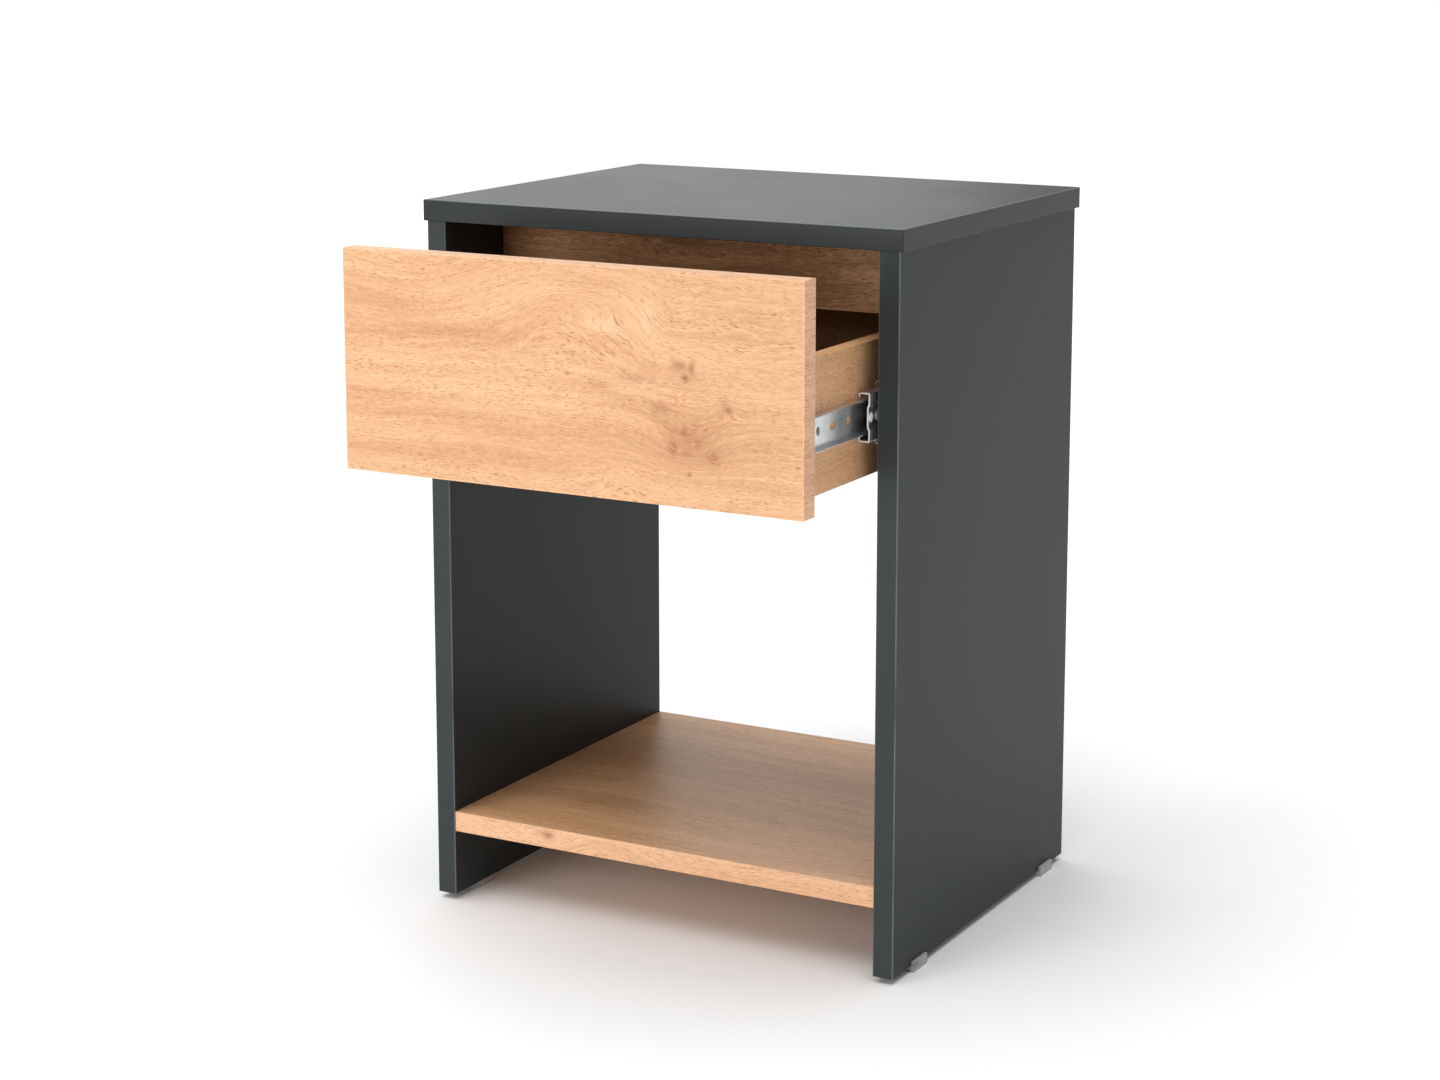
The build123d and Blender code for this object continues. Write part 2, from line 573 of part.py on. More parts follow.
def make_drawer():
    """The drawer front with its bands, and the box of two sides, a back and a grooved-in bottom."""
    x = FRONT_WIDTH / 2
    z0, z1 = FRONT_BOTTOM_Z, FRONT_BOTTOM_Z + FRONT_HEIGHT
    y0, y1 = FRONT_FACE_Y, FRONT_BACK_Y
    groove_z0, groove_z1 = BOTTOM_Z - CLEAR, BOTTOM_Z + BOTTOM_THICK + CLEAR
    groove_x = BOX_INNER_X + GROOVE_DEPTH
    cut("drawer_front", block(-groove_x, groove_x, y1 - GROOVE_DEPTH, y1 + 1, groove_z0, groove_z1))
    file_panel("drawer_front", block(-x + BAND, x - BAND, y0, y1, z0 + BAND, z1 - BAND))
    for way, a, b in ((-1, z0, z0 + BAND), (1, z1 - BAND, z1)):
        band = block(-x, x, y0, y1, a, b)
        add("drawer_front_edge_bands", softened(band, Axis.Z, way))
    for hand in (-1, 1):
        band = block(hand * (x - BAND), hand * x, y0, y1, z0 + BAND, z1 - BAND)
        outer = band.faces().sort_by(Axis.X)[-1 if hand > 0 else 0]
        add("drawer_front_edge_bands", fillet(outer.edges().filter_by(Axis.Z), EDGE_ROUND))
    box_top = BOX_BOTTOM_Z + BOX_HEIGHT
    for hand, name in ((-1, "drawer_side_left"), (1, "drawer_side_right")):
        inner, outer = hand * BOX_INNER_X, hand * BOX_OUTER_X
        cut(name, block(inner - hand, hand * groove_x, y1 - 1, BOX_BACK_Y + 1, groove_z0, groove_z1))
        file_panel(name, block(inner, outer, y1, BOX_BACK_Y, BOX_BOTTOM_Z, box_top))
    bottom_top = BOTTOM_Z + BOTTOM_THICK
    for x in BOTTOM_SCREWS_X:
        seat = Vector(x, BOX_BACK_Y - BOX_BOARD / 2, BOTTOM_Z)
        head = rod(seat, -UP, BOTTOM_SCREW_HEAD_RADIUS, BOTTOM_SCREW_HEAD_LENGTH)
        add("drawer_bottom_screws", head + rod(seat, UP, BOTTOM_SCREW_RADIUS, BOTTOM_SCREW_LENGTH))
        cut("drawer_bottom", rod(seat - UP, UP, BOTTOM_SCREW_RADIUS, BOTTOM_THICK + 2 * OVERCUT))
        cut("drawer_back", rod(seat, UP, BOTTOM_SCREW_RADIUS, BOTTOM_SCREW_LENGTH + OVERCUT))
    file_panel("drawer_back", block(-BOX_INNER_X, BOX_INNER_X, BOX_BACK_Y - BOX_BOARD, BOX_BACK_Y,
                                    bottom_top + CLEAR, box_top))
    bottom_x = groove_x - BOTTOM_SLACK
    bottom_y = y1 - GROOVE_DEPTH + BOTTOM_SLACK
    file_panel("drawer_bottom", block(-bottom_x, bottom_x, bottom_y, BOX_BACK_Y, BOTTOM_Z, bottom_top))


def write_parts():
    """Writes one STEP file for each node, in the export frame."""
    os.makedirs("parts", exist_ok=True)
    for name, shapes in sorted(parts.items()):
        solids = [solid for shape in shapes for solid in shape.solids()]
        group = solids[0] if len(solids) == 1 else Compound(solids)
        export_step(Pos(0, -ORIGIN_Y, 0) * group, f"parts/{name}.step")
        print(name, len(solids))


make_case_joints()
make_glides()
make_top()
make_sides()
make_shelf_rail_and_back()
make_slides()
make_drawer_joints()
make_drawer()
write_parts()
print("nodes", len(parts), "origin y", ORIGIN_Y)
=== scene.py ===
"""Looks of a bedside table: laminated boards, an open drawer on ball-bearing slides, and its hardware."""

import logging
import math
from dataclasses import dataclass
from enum import Enum

import bpy
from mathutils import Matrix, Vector

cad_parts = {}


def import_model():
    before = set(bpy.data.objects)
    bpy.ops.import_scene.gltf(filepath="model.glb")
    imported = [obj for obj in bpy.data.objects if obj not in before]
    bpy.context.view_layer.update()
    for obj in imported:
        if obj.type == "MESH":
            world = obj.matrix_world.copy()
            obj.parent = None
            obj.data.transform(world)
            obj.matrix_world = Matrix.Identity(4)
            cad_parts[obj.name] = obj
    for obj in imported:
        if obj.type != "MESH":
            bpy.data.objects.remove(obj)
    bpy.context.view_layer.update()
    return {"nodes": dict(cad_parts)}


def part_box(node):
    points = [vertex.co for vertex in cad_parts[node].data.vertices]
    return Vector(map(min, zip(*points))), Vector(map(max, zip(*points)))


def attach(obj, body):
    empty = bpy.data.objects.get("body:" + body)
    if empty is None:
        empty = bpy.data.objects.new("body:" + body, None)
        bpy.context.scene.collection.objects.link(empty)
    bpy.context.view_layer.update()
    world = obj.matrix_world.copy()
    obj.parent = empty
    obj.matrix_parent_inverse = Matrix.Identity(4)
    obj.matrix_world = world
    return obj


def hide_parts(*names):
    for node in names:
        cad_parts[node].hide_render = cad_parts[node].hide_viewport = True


Socket = bpy.types.NodeSocket
Colour = tuple[float, float, float]
Number = float | Socket

MILLIMETRE = 0.001
LOG = logging.getLogger("bedside_table")


class Axis(Enum):
    """A direction of the shared frame, by its place in a coordinate."""

    X = 0
    Y = 1
    Z = 2


class Side(Enum):
    """The left or right hand of the table, with the sign of its X."""

    LEFT = -1
    RIGHT = 1

    @property
    def word(self) -> str:
        """The word that the side's nodes and bodies end with."""
        return self.name.lower()


# ---------------------------------------------------------------- node canvas


class Canvas:
    """One material's node tree, laid out by short calls that return sockets."""

    def __init__(self, name: str) -> None:
        """Starts an empty material with one Principled shader.

        Args:
            name: the material's name.
        """
        self.material = bpy.data.materials.new(name)
        self.material.use_nodes = True
        self.nodes = self.material.node_tree.nodes
        self.links = self.material.node_tree.links
        self.nodes.clear()
        self.shader = self.nodes.new("ShaderNodeBsdfPrincipled")
        output = self.nodes.new("ShaderNodeOutputMaterial")
        self.links.new(self.shader.outputs[0], output.inputs["Surface"])

    def put(self, socket: Socket, value: object) -> None:
        """Links a socket to another, or sets its value.

        Args:
            socket: the input to fill.
            value: a socket, a number or a tuple.
        """
        if isinstance(value, Socket):
            self.links.new(value, socket)
        else:
            socket.default_value = value

    def math(self, operation: str, a: Number, b: Number = 0.0, clamp: bool = False) -> Socket:
        """One sum on numbers.

        Args:
            operation: the Math node's operation, such as "MULTIPLY".
            a: the first number.
            b: the second number.
            clamp: whether the result is kept from 0 to 1.

        Returns:
            The result's socket.
        """
        node = self.nodes.new("ShaderNodeMath")
        node.operation = operation
        node.use_clamp = clamp
        self.put(node.inputs[0], a)
        self.put(node.inputs[1], b)
        return node.outputs[0]

    def add(self, a: Number, b: Number) -> Socket:
        """The sum of two numbers."""
        return self.math("ADD", a, b)

    def times(self, a: Number, b: Number) -> Socket:
        """The product of two numbers."""
        return self.math("MULTIPLY", a, b)

    def spread(self, value: Number, low: float, high: float) -> Socket:
        """Stretches the range from low to high to 0 to 1, smoothly, and clamps the rest.

        Args:
            value: the number to stretch.
            low: what becomes 0.
            high: what becomes 1.

        Returns:
            The stretched number.
        """
        node = self.nodes.new("ShaderNodeMapRange")
        node.interpolation_type = "SMOOTHSTEP"
        self.put(node.inputs["Value"], value)
        node.inputs["From Min"].default_value = low
        node.inputs["From Max"].default_value = high
        return node.outputs[0]

    def place(self) -> list[Socket]:
        """The point's own place, as three numbers in millimetres.

        Returns:
            Sockets of X, Y and Z.
        """
        coordinate = self.nodes.new("ShaderNodeTexCoord")
        split = self.nodes.new("ShaderNodeSeparateXYZ")
        self.links.new(coordinate.outputs["Object"], split.inputs[0])
        return [self.times(out, 1 / MILLIMETRE) for out in split.outputs]

    def point(self, x: Number, y: Number, z: Number) -> Socket:
        """A coordinate made of three numbers.

        Args:
            x: the first number.
            y: the second number.
            z: the third number.

        Returns:
            The coordinate's socket.
        """
        node = self.nodes.new("ShaderNodeCombineXYZ")
        for socket, value in zip(node.inputs, (x, y, z)):
            self.put(socket, value)
        return node.outputs[0]

    def noise(self, at: Socket, scale: float = 1.0, detail: float = 2.0, rough: float = 0.5) -> Socket:
        """Soft random values.

        Args:
            at: the coordinate they are read at.
            scale: how many blobs fit in one unit.
            detail: how many finer layers are added.
            rough: how strong the finer layers are.

        Returns:
            A number from 0 to 1, mostly near 0.5.
        """
        node = self.nodes.new("ShaderNodeTexNoise")
        self.put(node.inputs["Vector"], at)
        node.inputs["Scale"].default_value = scale
        node.inputs["Detail"].default_value = detail
        node.inputs["Roughness"].default_value = rough
        return node.outputs[0]

    def hill(self, u: Socket, v: Socket, centre: tuple[float, float], width: tuple[float, float]) -> Socket:
        """A smooth round hill, 1 at its centre and 0 far from it.

        Args:
            u: the first coordinate.
            v: the second coordinate.
            centre: where the hill is highest.
            width: how far it falls to about a third, each way.

        Returns:
            The hill's height.
        """
        squares = []
        for value, middle, size in zip((u, v), centre, width):
            away = self.times(self.add(value, -middle), 1 / size)
            squares.append(self.times(away, away))
        return self.math("EXPONENT", self.times(self.add(*squares), -1.0))

    def ramp(self, value: Number, stops: tuple[tuple[float, Colour], ...]) -> Socket:
        """A colour read off a scale.

        Args:
            value: the place on the scale, from 0 to 1.
            stops: places and their colours.

        Returns:
            The colour.
        """
        node = self.nodes.new("ShaderNodeValToRGB")
        elements = node.color_ramp.elements
        while len(elements) < len(stops):
            elements.new(0.5)
        for element, (at, colour) in zip(elements, stops):
            element.position = at
            element.color = (*colour, 1.0)
        self.put(node.inputs[0], value)
        return node.outputs[0]

    def blend(self, share: Number, first: object, second: object) -> Socket:
        """Mixes two colours.

        Args:
            share: how much of the second colour, from 0 to 1.
            first: a colour or a socket.
            second: a colour or a socket.

        Returns:
            The mixed colour.
        """
        node = self.nodes.new("ShaderNodeMix")
        node.data_type = "RGBA"
        self.put(node.inputs[0], share)
        for socket, value in ((node.inputs[6], first), (node.inputs[7], second)):
            self.put(socket, value if isinstance(value, Socket) else (*value, 1.0))
        return node.outputs[2]

    def relief(self, height: Socket, strength: float, depth: float) -> None:
        """Gives the surface a fine relief.

        Args:
            height: its height, from 0 to 1.
            strength: how much of it shows.
            depth: what a height of 1 is, in metres.
        """
        node = self.nodes.new("ShaderNodeBump")
        node.inputs["Strength"].default_value = strength
        node.inputs["Distance"].default_value = depth
        self.put(node.inputs["Height"], height)
        self.links.new(node.outputs[0], self.shader.inputs["Normal"])

    def finish(self, **values: object) -> bpy.types.Material:
        """Fills the shader's sockets.

        Args:
            **values: socket names, with _ for a space, and a socket or a value.

        Returns:
            The finished material.
        """
        for name, value in values.items():
            socket = self.shader.inputs[name.replace("_", " ")]
            if isinstance(value, tuple) and len(value) == 3:
                value = (*value, 1.0)
            self.put(socket, value)
        return self.material


# ---------------------------------------------------------------- finishes


@dataclass(frozen=True)
class Bend:
    """A place where the grain is pushed aside. A strong, small one makes rings of its own."""

    centre: tuple[float, float]
    width: tuple[float, float]
    lift: float


@dataclass(frozen=True)
class Mark:
    """A dark spot or smudge in the wood, with how dark its middle is."""

    centre: tuple[float, float]
    width: tuple[float, float]
    dark: float


@dataclass(frozen=True)
class Wash:
    """A soft stretch of the board that is lighter, or darker where its amount is below 0."""

    centre: tuple[float, float]
    width: tuple[float, float]
    amount: float


@dataclass(frozen=True)
class Streak:
    """Streaks along the grain, by their length and width in millimetres and how much they count."""

    length: float
    width: float
    detail: float
    rough: float = 0.5
    weight: float = 1.0


PLANK = Streak(260.0, 19.0, 2.0, weight=0.80)
RINGS = Streak(110.0, 3.0, 2.0, 0.6, 0.62)
FIBRE = Streak(8.0, 0.62, 3.0, 0.65, 1.05)
SILK = Streak(16.0, 1.5, 2.0, weight=0.55)
PORES = Streak(4.6, 0.60, 1.0)
PORE_CROWDS = Streak(60.0, 7.0, 1.0)
PORE_LIMITS = (0.56, 0.68)
CROWD_LIMITS = (0.30, 0.62)
KNOT_LIMITS = (0.16, 0.60)
PRINT_RELIEF = 0.08 * MILLIMETRE


@dataclass(frozen=True)
class OakTone:
    """The colours of one oak print."""

    light: Colour = (0.775, 0.462, 0.258)
    middle: Colour = (0.665, 0.366, 0.186)
    dark: Colour = (0.54, 0.278, 0.128)
    pore: Colour = (0.41, 0.175, 0.066)
    knot: Colour = (0.31, 0.108, 0.030)


@dataclass(frozen=True)
class OakPrint:
    """Oak-look melamine: flat printed grain with pores, arches and knots, under a silky matt surface."""

    name: str
    along: Axis
    across: Axis
    start: tuple[float, float] = (0.0, 0.0)
    bends: tuple[Bend, ...] = ()
    marks: tuple[Mark, ...] = ()
    washes: tuple[Wash, ...] = ()
    tone: OakTone = OakTone()
    roughness: float = 0.42
    shine: float = 0.4
    sway: float = 20.0
    ripple: float = 4.0
    ends_beyond: float = 0.0
    face_offset: float = 0.0
    base_tone: float = 0.54
    pore_strength: float = 0.80

    def directions(self, canvas: Canvas) -> tuple[Socket, Socket]:
        """The places along and across the grain.

        The place across also grows through the board's thickness, so that the grain runs along the
        board's long edges too. Where ends_beyond is set, the strips further out than that in X are end
        strips, whose grain runs through the thickness.

        Args:
            canvas: the material.

        Returns:
            The two places, in millimetres.
        """
        place = canvas.place()
        u, v = place[self.along.value], place[self.across.value]
        if not self.ends_beyond:
            through = sum(axis.value for axis in Axis) - self.along.value - self.across.value
            return u, canvas.add(canvas.add(v, place[through]), self.face_offset)
        out = canvas.math("GREATER_THAN", canvas.math("ABSOLUTE", place[0]), self.ends_beyond)
        kept = canvas.math("SUBTRACT", 1.0, out)
        u = canvas.add(canvas.times(u, kept), canvas.times(place[1], out))
        v = canvas.add(canvas.times(v, kept), canvas.times(place[2], out))
        return u, v

    def grain_line(self, canvas: Canvas, u: Socket, v: Socket) -> Socket:
        """The coordinate that stays the same along one line of grain.

        Args:
            canvas: the material.
            u: the place along the board.
            v: the place across the board.

        Returns:
            The line's number, in millimetres.
        """
        line = v
        for bend in self.bends:
            line = canvas.add(line, canvas.times(canvas.hill(u, v, bend.centre, bend.width), bend.lift))
        slow = canvas.point(canvas.times(u, 0.007), canvas.times(v, 0.018), self.start[0])
        quick = canvas.point(canvas.times(u, 0.03), canvas.times(v, 0.09), self.start[1])
        for at, detail, height in ((slow, 1.0, self.sway), (quick, 2.0, self.ripple)):
            wave = canvas.noise(at, 1.0, detail)
            line = canvas.add(line, canvas.times(canvas.add(wave, -0.5), height))
        return line

    def streaks(self, canvas: Canvas, u: Socket, line: Socket, streak: Streak) -> Socket:
        """One kind of streak.

        Args:
            canvas: the material.
            u: the place along the board.
            line: the grain line's number.
            streak: the kind of streak.

        Returns:
            A number from 0 to 1, mostly near 0.5.
        """
        layer = sum(self.start) + streak.length * 0.37
        at = canvas.point(canvas.times(u, 1 / streak.length), canvas.times(line, 1 / streak.width), layer)
        return canvas.noise(at, 1.0, streak.detail, streak.rough)

    def darkness(self, canvas: Canvas, u: Socket, v: Socket, line: Socket) -> Socket:
        """How much of the knot colour shows, broken up along the grain.

        Args:
            canvas: the material.
            u: the place along the board.
            v: the place across the board.
            line: the grain line's number.

        Returns:
            A number from 0 to 1.
        """
        at = canvas.point(canvas.times(u, 0.16), canvas.times(line, 0.34), 7.0)
        broken = canvas.noise(at, 1.0, 3.0, 0.65)
        dark: Number = 0.0
        for mark in self.marks:
            spot = canvas.times(canvas.hill(u, v, mark.centre, mark.width), mark.dark)
            dark = canvas.math("MAXIMUM", dark, spot)
        return canvas.times(dark, canvas.spread(broken, *KNOT_LIMITS))

    def build(self) -> bpy.types.Material:
        """Makes the material.

        Returns:
            The finished material.
        """
        canvas = Canvas(self.name)
        u, v = self.directions(canvas)
        line = self.grain_line(canvas, u, v)
        drawn = {streak: self.streaks(canvas, u, line, streak) for streak in (PLANK, RINGS, FIBRE, SILK)}
        tone: Number = self.base_tone
        for streak, value in drawn.items():
            tone = canvas.add(canvas.times(canvas.add(value, -0.5), streak.weight), tone)
        for wash in self.washes:
            tone = canvas.add(tone, canvas.times(canvas.hill(u, v, wash.centre, wash.width), wash.amount))
        shades = ((0.12, self.tone.dark), (0.50, self.tone.middle), (0.86, self.tone.light))
        colour = canvas.ramp(tone, shades)
        pores = canvas.spread(self.streaks(canvas, u, line, PORES), *PORE_LIMITS)
        crowd = canvas.spread(self.streaks(canvas, u, line, PORE_CROWDS), *CROWD_LIMITS)
        pores = canvas.times(pores, canvas.add(canvas.times(crowd, 0.6), 0.4))
        colour = canvas.blend(canvas.times(pores, self.pore_strength), colour, self.tone.pore)
        if self.marks:
            colour = canvas.blend(self.darkness(canvas, u, v, line), colour, self.tone.knot)
        height = canvas.add(canvas.times(pores, -1.0), canvas.times(drawn[FIBRE], 0.25))
        canvas.relief(height, 0.35, PRINT_RELIEF)
        uneven = canvas.add(pores, canvas.times(drawn[RINGS], 0.5))
        rough = canvas.add(canvas.times(uneven, 0.12), self.roughness)
        return canvas.finish(Base_Color=colour, Roughness=rough, IOR=1.5, Specular_IOR_Level=self.shine)


@dataclass(frozen=True)
class Melamine:
    """Matt anthracite melamine: a very dark grey with a fine pearl texture and a little unevenness."""

    name: str
    dark: Colour
    light: Colour
    roughness: float
    pearl: float = 0.35
    shine: float = 0.16
    # The arris colour is a painted highlight: a light line along the band's edges, where the rounded arris
    # would catch light.
    arris: Colour = (0.15, 0.165, 0.168)
    arris_width: float = 0.75
    arrises: tuple[tuple[Axis, float], ...] = ()

    def arris_highlight(self, canvas: Canvas, place: list[Socket]) -> Number:
        """How much of the painted highlight along the arrises shows at a point, from 0 to 1.

        Args:
            canvas: the material.
            place: the point's X, Y and Z in millimetres.

        Returns:
            The share of the painted highlight colour.
        """
        share: Number = 0.0
        for axis, at in self.arrises:
            away = canvas.math("ABSOLUTE", canvas.add(place[axis.value], -at))
            near = canvas.math("SUBTRACT", 1.0, canvas.spread(away, self.arris_width * 0.5, self.arris_width))
            share = canvas.math("MAXIMUM", share, near)
        return share

    def build(self) -> bpy.types.Material:
        """Makes the material.

        Returns:
            The finished material.
        """
        canvas = Canvas(self.name)
        place = canvas.place()
        at = canvas.point(*place)
        cloud = canvas.noise(at, 0.012, 3.0, 0.6)
        grit = canvas.noise(at, 1.9, 2.0, 0.6)
        tone = canvas.add(canvas.times(cloud, 0.7), canvas.times(grit, 0.3))
        colour = canvas.ramp(tone, ((0.35, self.dark), (0.65, self.light)))
        # Paints a highlight along each arris, broken up by the cloud.
        if self.arrises:
            arris_highlight_share = canvas.times(self.arris_highlight(canvas, place), canvas.spread(cloud, 0.2, 0.5))
            colour = canvas.blend(arris_highlight_share, colour, self.arris)
        rough = canvas.add(canvas.times(canvas.add(cloud, grit), 0.07), self.roughness - 0.07)
        canvas.relief(grit, self.pearl, 0.00004)
        return canvas.finish(Base_Color=colour, Roughness=rough, IOR=1.5, Specular_IOR_Level=self.shine)


@dataclass(frozen=True)
class DrawnMetal:
    """Plated sheet: streaks along its length, faint stains, a soft shine and a painted highlight on its front
    end.
    """

    name: str
    bright: Colour
    dull: Colour
    roughness: float
    along: Axis = Axis.Y
    streaks: float = 0.5
    metallic: float = 0.96
    cut_end: float | None = None

    def build(self) -> bpy.types.Material:
        """Makes the material.

        Returns:
            The finished material.
        """
        canvas = Canvas(self.name)
        place = canvas.place()
        scale = [2.6, 2.6, 2.6]
        scale[self.along.value] = 0.03
        at = canvas.point(*(canvas.times(value, size) for value, size in zip(place, scale)))
        streak = canvas.noise(at, 1.0, 3.0, 0.65)
        cloud = canvas.noise(canvas.point(*place), 0.12, 4.0, 0.6)
        tone = canvas.add(canvas.times(streak, self.streaks), canvas.times(cloud, 1.0 - self.streaks))
        colour = canvas.ramp(tone, ((0.32, self.dull), (0.62, self.bright)))
        metal: Number = self.metallic
        # Paints the front end, below the given Y, near-white and much less metallic: a painted highlight on
        # the member's end.
        if self.cut_end is not None:
            front_end_highlight = canvas.math("LESS_THAN", place[1], self.cut_end)
            colour = canvas.blend(front_end_highlight, colour, (0.95, 0.95, 0.96))
            metal = canvas.math("SUBTRACT", self.metallic, canvas.times(front_end_highlight, 0.7))
        rough = canvas.add(canvas.times(tone, 0.22), self.roughness - 0.11)
        canvas.relief(streak, 0.22, 0.00003)
        return canvas.finish(Base_Color=colour, Roughness=rough, Metallic=metal)


@dataclass(frozen=True)
class CastMetal:
    """Die-cast zinc or plain ball steel: an even metal with a fine skin."""

    name: str
    bright: Colour
    dull: Colour
    roughness: float
    grain: float = 2.2
    skin: float = 0.3
    metallic: float = 1.0

    def build(self) -> bpy.types.Material:
        """Makes the material.

        Returns:
            The finished material.
        """
        canvas = Canvas(self.name)
        at = canvas.point(*canvas.place())
        skin = canvas.noise(at, self.grain, 3.0, 0.6)
        cloud = canvas.noise(at, 0.3, 2.0)
        tone = canvas.times(canvas.add(skin, cloud), 0.5)
        colour = canvas.ramp(tone, ((0.35, self.dull), (0.6, self.bright)))
        rough = canvas.add(canvas.times(cloud, 0.2), self.roughness - 0.1)
        canvas.relief(skin, self.skin, 0.00005)
        return canvas.finish(Base_Color=colour, Roughness=rough, Metallic=self.metallic)


@dataclass(frozen=True)
class Moulded:
    """Moulded plastic or rubber: an even colour with a spark-eroded skin and faint flow marks."""

    name: str
    colour: Colour
    roughness: float
    skin: float = 0.4
    scuff: float = 0.12

    def build(self) -> bpy.types.Material:
        """Makes the material.

        Returns:
            The finished material.
        """
        canvas = Canvas(self.name)
        at = canvas.point(*canvas.place())
        skin = canvas.noise(at, 3.2, 2.0, 0.6)
        flow = canvas.noise(at, 0.16, 3.0, 0.55)
        low = tuple(channel * (1.0 - self.scuff) for channel in self.colour)
        high = tuple(min(1.0, channel * (1.0 + self.scuff)) for channel in self.colour)
        colour = canvas.ramp(flow, ((0.35, low), (0.65, high)))
        rough = canvas.add(canvas.times(canvas.add(flow, skin), 0.1), self.roughness - 0.1)
        canvas.relief(skin, self.skin, 0.00005)
        return canvas.finish(Base_Color=colour, Roughness=rough, IOR=1.48, Specular_IOR_Level=0.45)


@dataclass(frozen=True)
class PlainTimber:
    """Turned or pressed wood: fine flecks along its length."""

    name: str
    light: Colour
    dark: Colour
    along: Axis
    fleck: float = 0.5

    def build(self) -> bpy.types.Material:
        """Makes the material.

        Returns:
            The finished material.
        """
        canvas = Canvas(self.name)
        place = canvas.place()
        scale = [1.3, 1.3, 1.3]
        scale[self.along.value] = 0.16
        at = canvas.point(*(canvas.times(value, size) for value, size in zip(place, scale)))
        fleck = canvas.noise(at, 1.0, 4.0, 0.65)
        cloud = canvas.noise(canvas.point(*place), 0.02, 2.0)
        tone = canvas.add(canvas.times(fleck, self.fleck), canvas.times(cloud, 1.0 - self.fleck))
        colour = canvas.ramp(tone, ((0.36, self.dark), (0.62, self.light)))
        canvas.relief(fleck, 0.3, 0.00008)
        return canvas.finish(Base_Color=colour, Roughness=canvas.add(canvas.times(fleck, 0.2), 0.5))


OAK_FRONT_BENDS = (
    Bend((6.0, 497.0), (74.0, 30.0), -31.0),
    Bend((78.0, 490.0), (26.0, 26.0), 15.0),
    Bend((-128.0, 512.0), (60.0, 26.0), 13.0),
    Bend((28.0, 487.0), (20.0, 8.0), 7.0),
    Bend((98.0, 409.0), (30.0, 20.0), 20.0),
    Bend((95.0, 459.0), (10.0, 8.0), 8.0),
    Bend((129.0, 436.0), (8.0, 6.0), -6.0),
    Bend((150.0, 466.0), (60.0, 34.0), 13.0),
    Bend((40.0, 380.0), (34.0, 14.0), -9.0),
)
OAK_FRONT_MARKS = (
    Mark((96.0, 455.5), (3.8, 3.2), 1.0),
    Mark((91.0, 463.5), (6.5, 3.6), 0.75),
    Mark((100.5, 462.0), (2.6, 6.0), 0.72),
    Mark((96.0, 459.0), (9.0, 10.0), 0.25),
    Mark((128.8, 436.0), (2.6, 2.6), 1.0),
    Mark((126.0, 440.0), (3.0, 4.0), 0.35),
    Mark((98.0, 411.0), (22.0, 12.0), 0.42),
    Mark((86.0, 407.0), (4.5, 6.0), 0.95),
    Mark((95.0, 418.0), (9.0, 3.0), 0.85),
    Mark((105.0, 411.0), (3.0, 7.0), 0.75),
    Mark((97.0, 404.0), (7.0, 2.6), 0.70),
    Mark((117.0, 403.0), (7.0, 5.0), 0.72),
    Mark((99.0, 389.0), (1.5, 1.5), 1.0),
    Mark((76.6, 433.4), (7.5, 5.0), 0.48),
    Mark((55.7, 452.3), (18.0, 3.2), 0.40),
    Mark((26.4, 446.5), (11.0, 3.0), 0.34),
)
OAK_FRONT_WASHES = (
    Wash((-95.0, 474.0), (100.0, 5.5), -0.26),
    Wash((-90.0, 458.0), (110.0, 5.0), -0.10),
    Wash((-85.0, 435.0), (110.0, 6.0), 0.26),
    Wash((-90.0, 411.0), (90.0, 6.0), -0.20),
    Wash((-70.0, 384.0), (110.0, 7.0), -0.12),
    Wash((32.0, 486.0), (18.0, 6.0), 0.34),
    Wash((66.0, 500.0), (12.0, 20.0), 0.16),
    Wash((20.0, 512.0), (22.0, 7.0), -0.18),
    Wash((120.0, 484.0), (50.0, 4.0), -0.20),
    Wash((-146.0, 500.0), (34.0, 12.0), -0.12),
    Wash((100.0, 420.0), (45.0, 30.0), -0.12),
)
SHELF_TONE = OakTone(
    light=(0.88, 0.525, 0.285),
    middle=(0.74, 0.415, 0.212),
    dark=(0.56, 0.290, 0.138),
    pore=(0.47, 0.232, 0.105),
    knot=(0.16, 0.078, 0.034),
)
SHADED_TONE = OakTone(
    light=(0.78, 0.455, 0.245),
    middle=(0.42, 0.226, 0.108),
    dark=(0.24, 0.120, 0.053),
    pore=(0.21, 0.10, 0.046),
)
# Oak darkened to near brown-black for the drawer back: painted shade for the dim inside of the drawer.
DRAWER_SHADE_TONE = OakTone(
    light=(0.30, 0.165, 0.075),
    middle=(0.23, 0.122, 0.052),
    dark=(0.16, 0.08, 0.034),
    pore=(0.11, 0.052, 0.022),
)
BAND_TONE = OakTone(
    light=(0.86, 0.53, 0.32),
    middle=(0.74, 0.42, 0.235),
    dark=(0.56, 0.29, 0.145),
    pore=(0.47, 0.220, 0.098),
)
DARK_GREY = (0.0235, 0.0285, 0.0295)
SOFT_GREY = (0.0280, 0.0335, 0.0345)


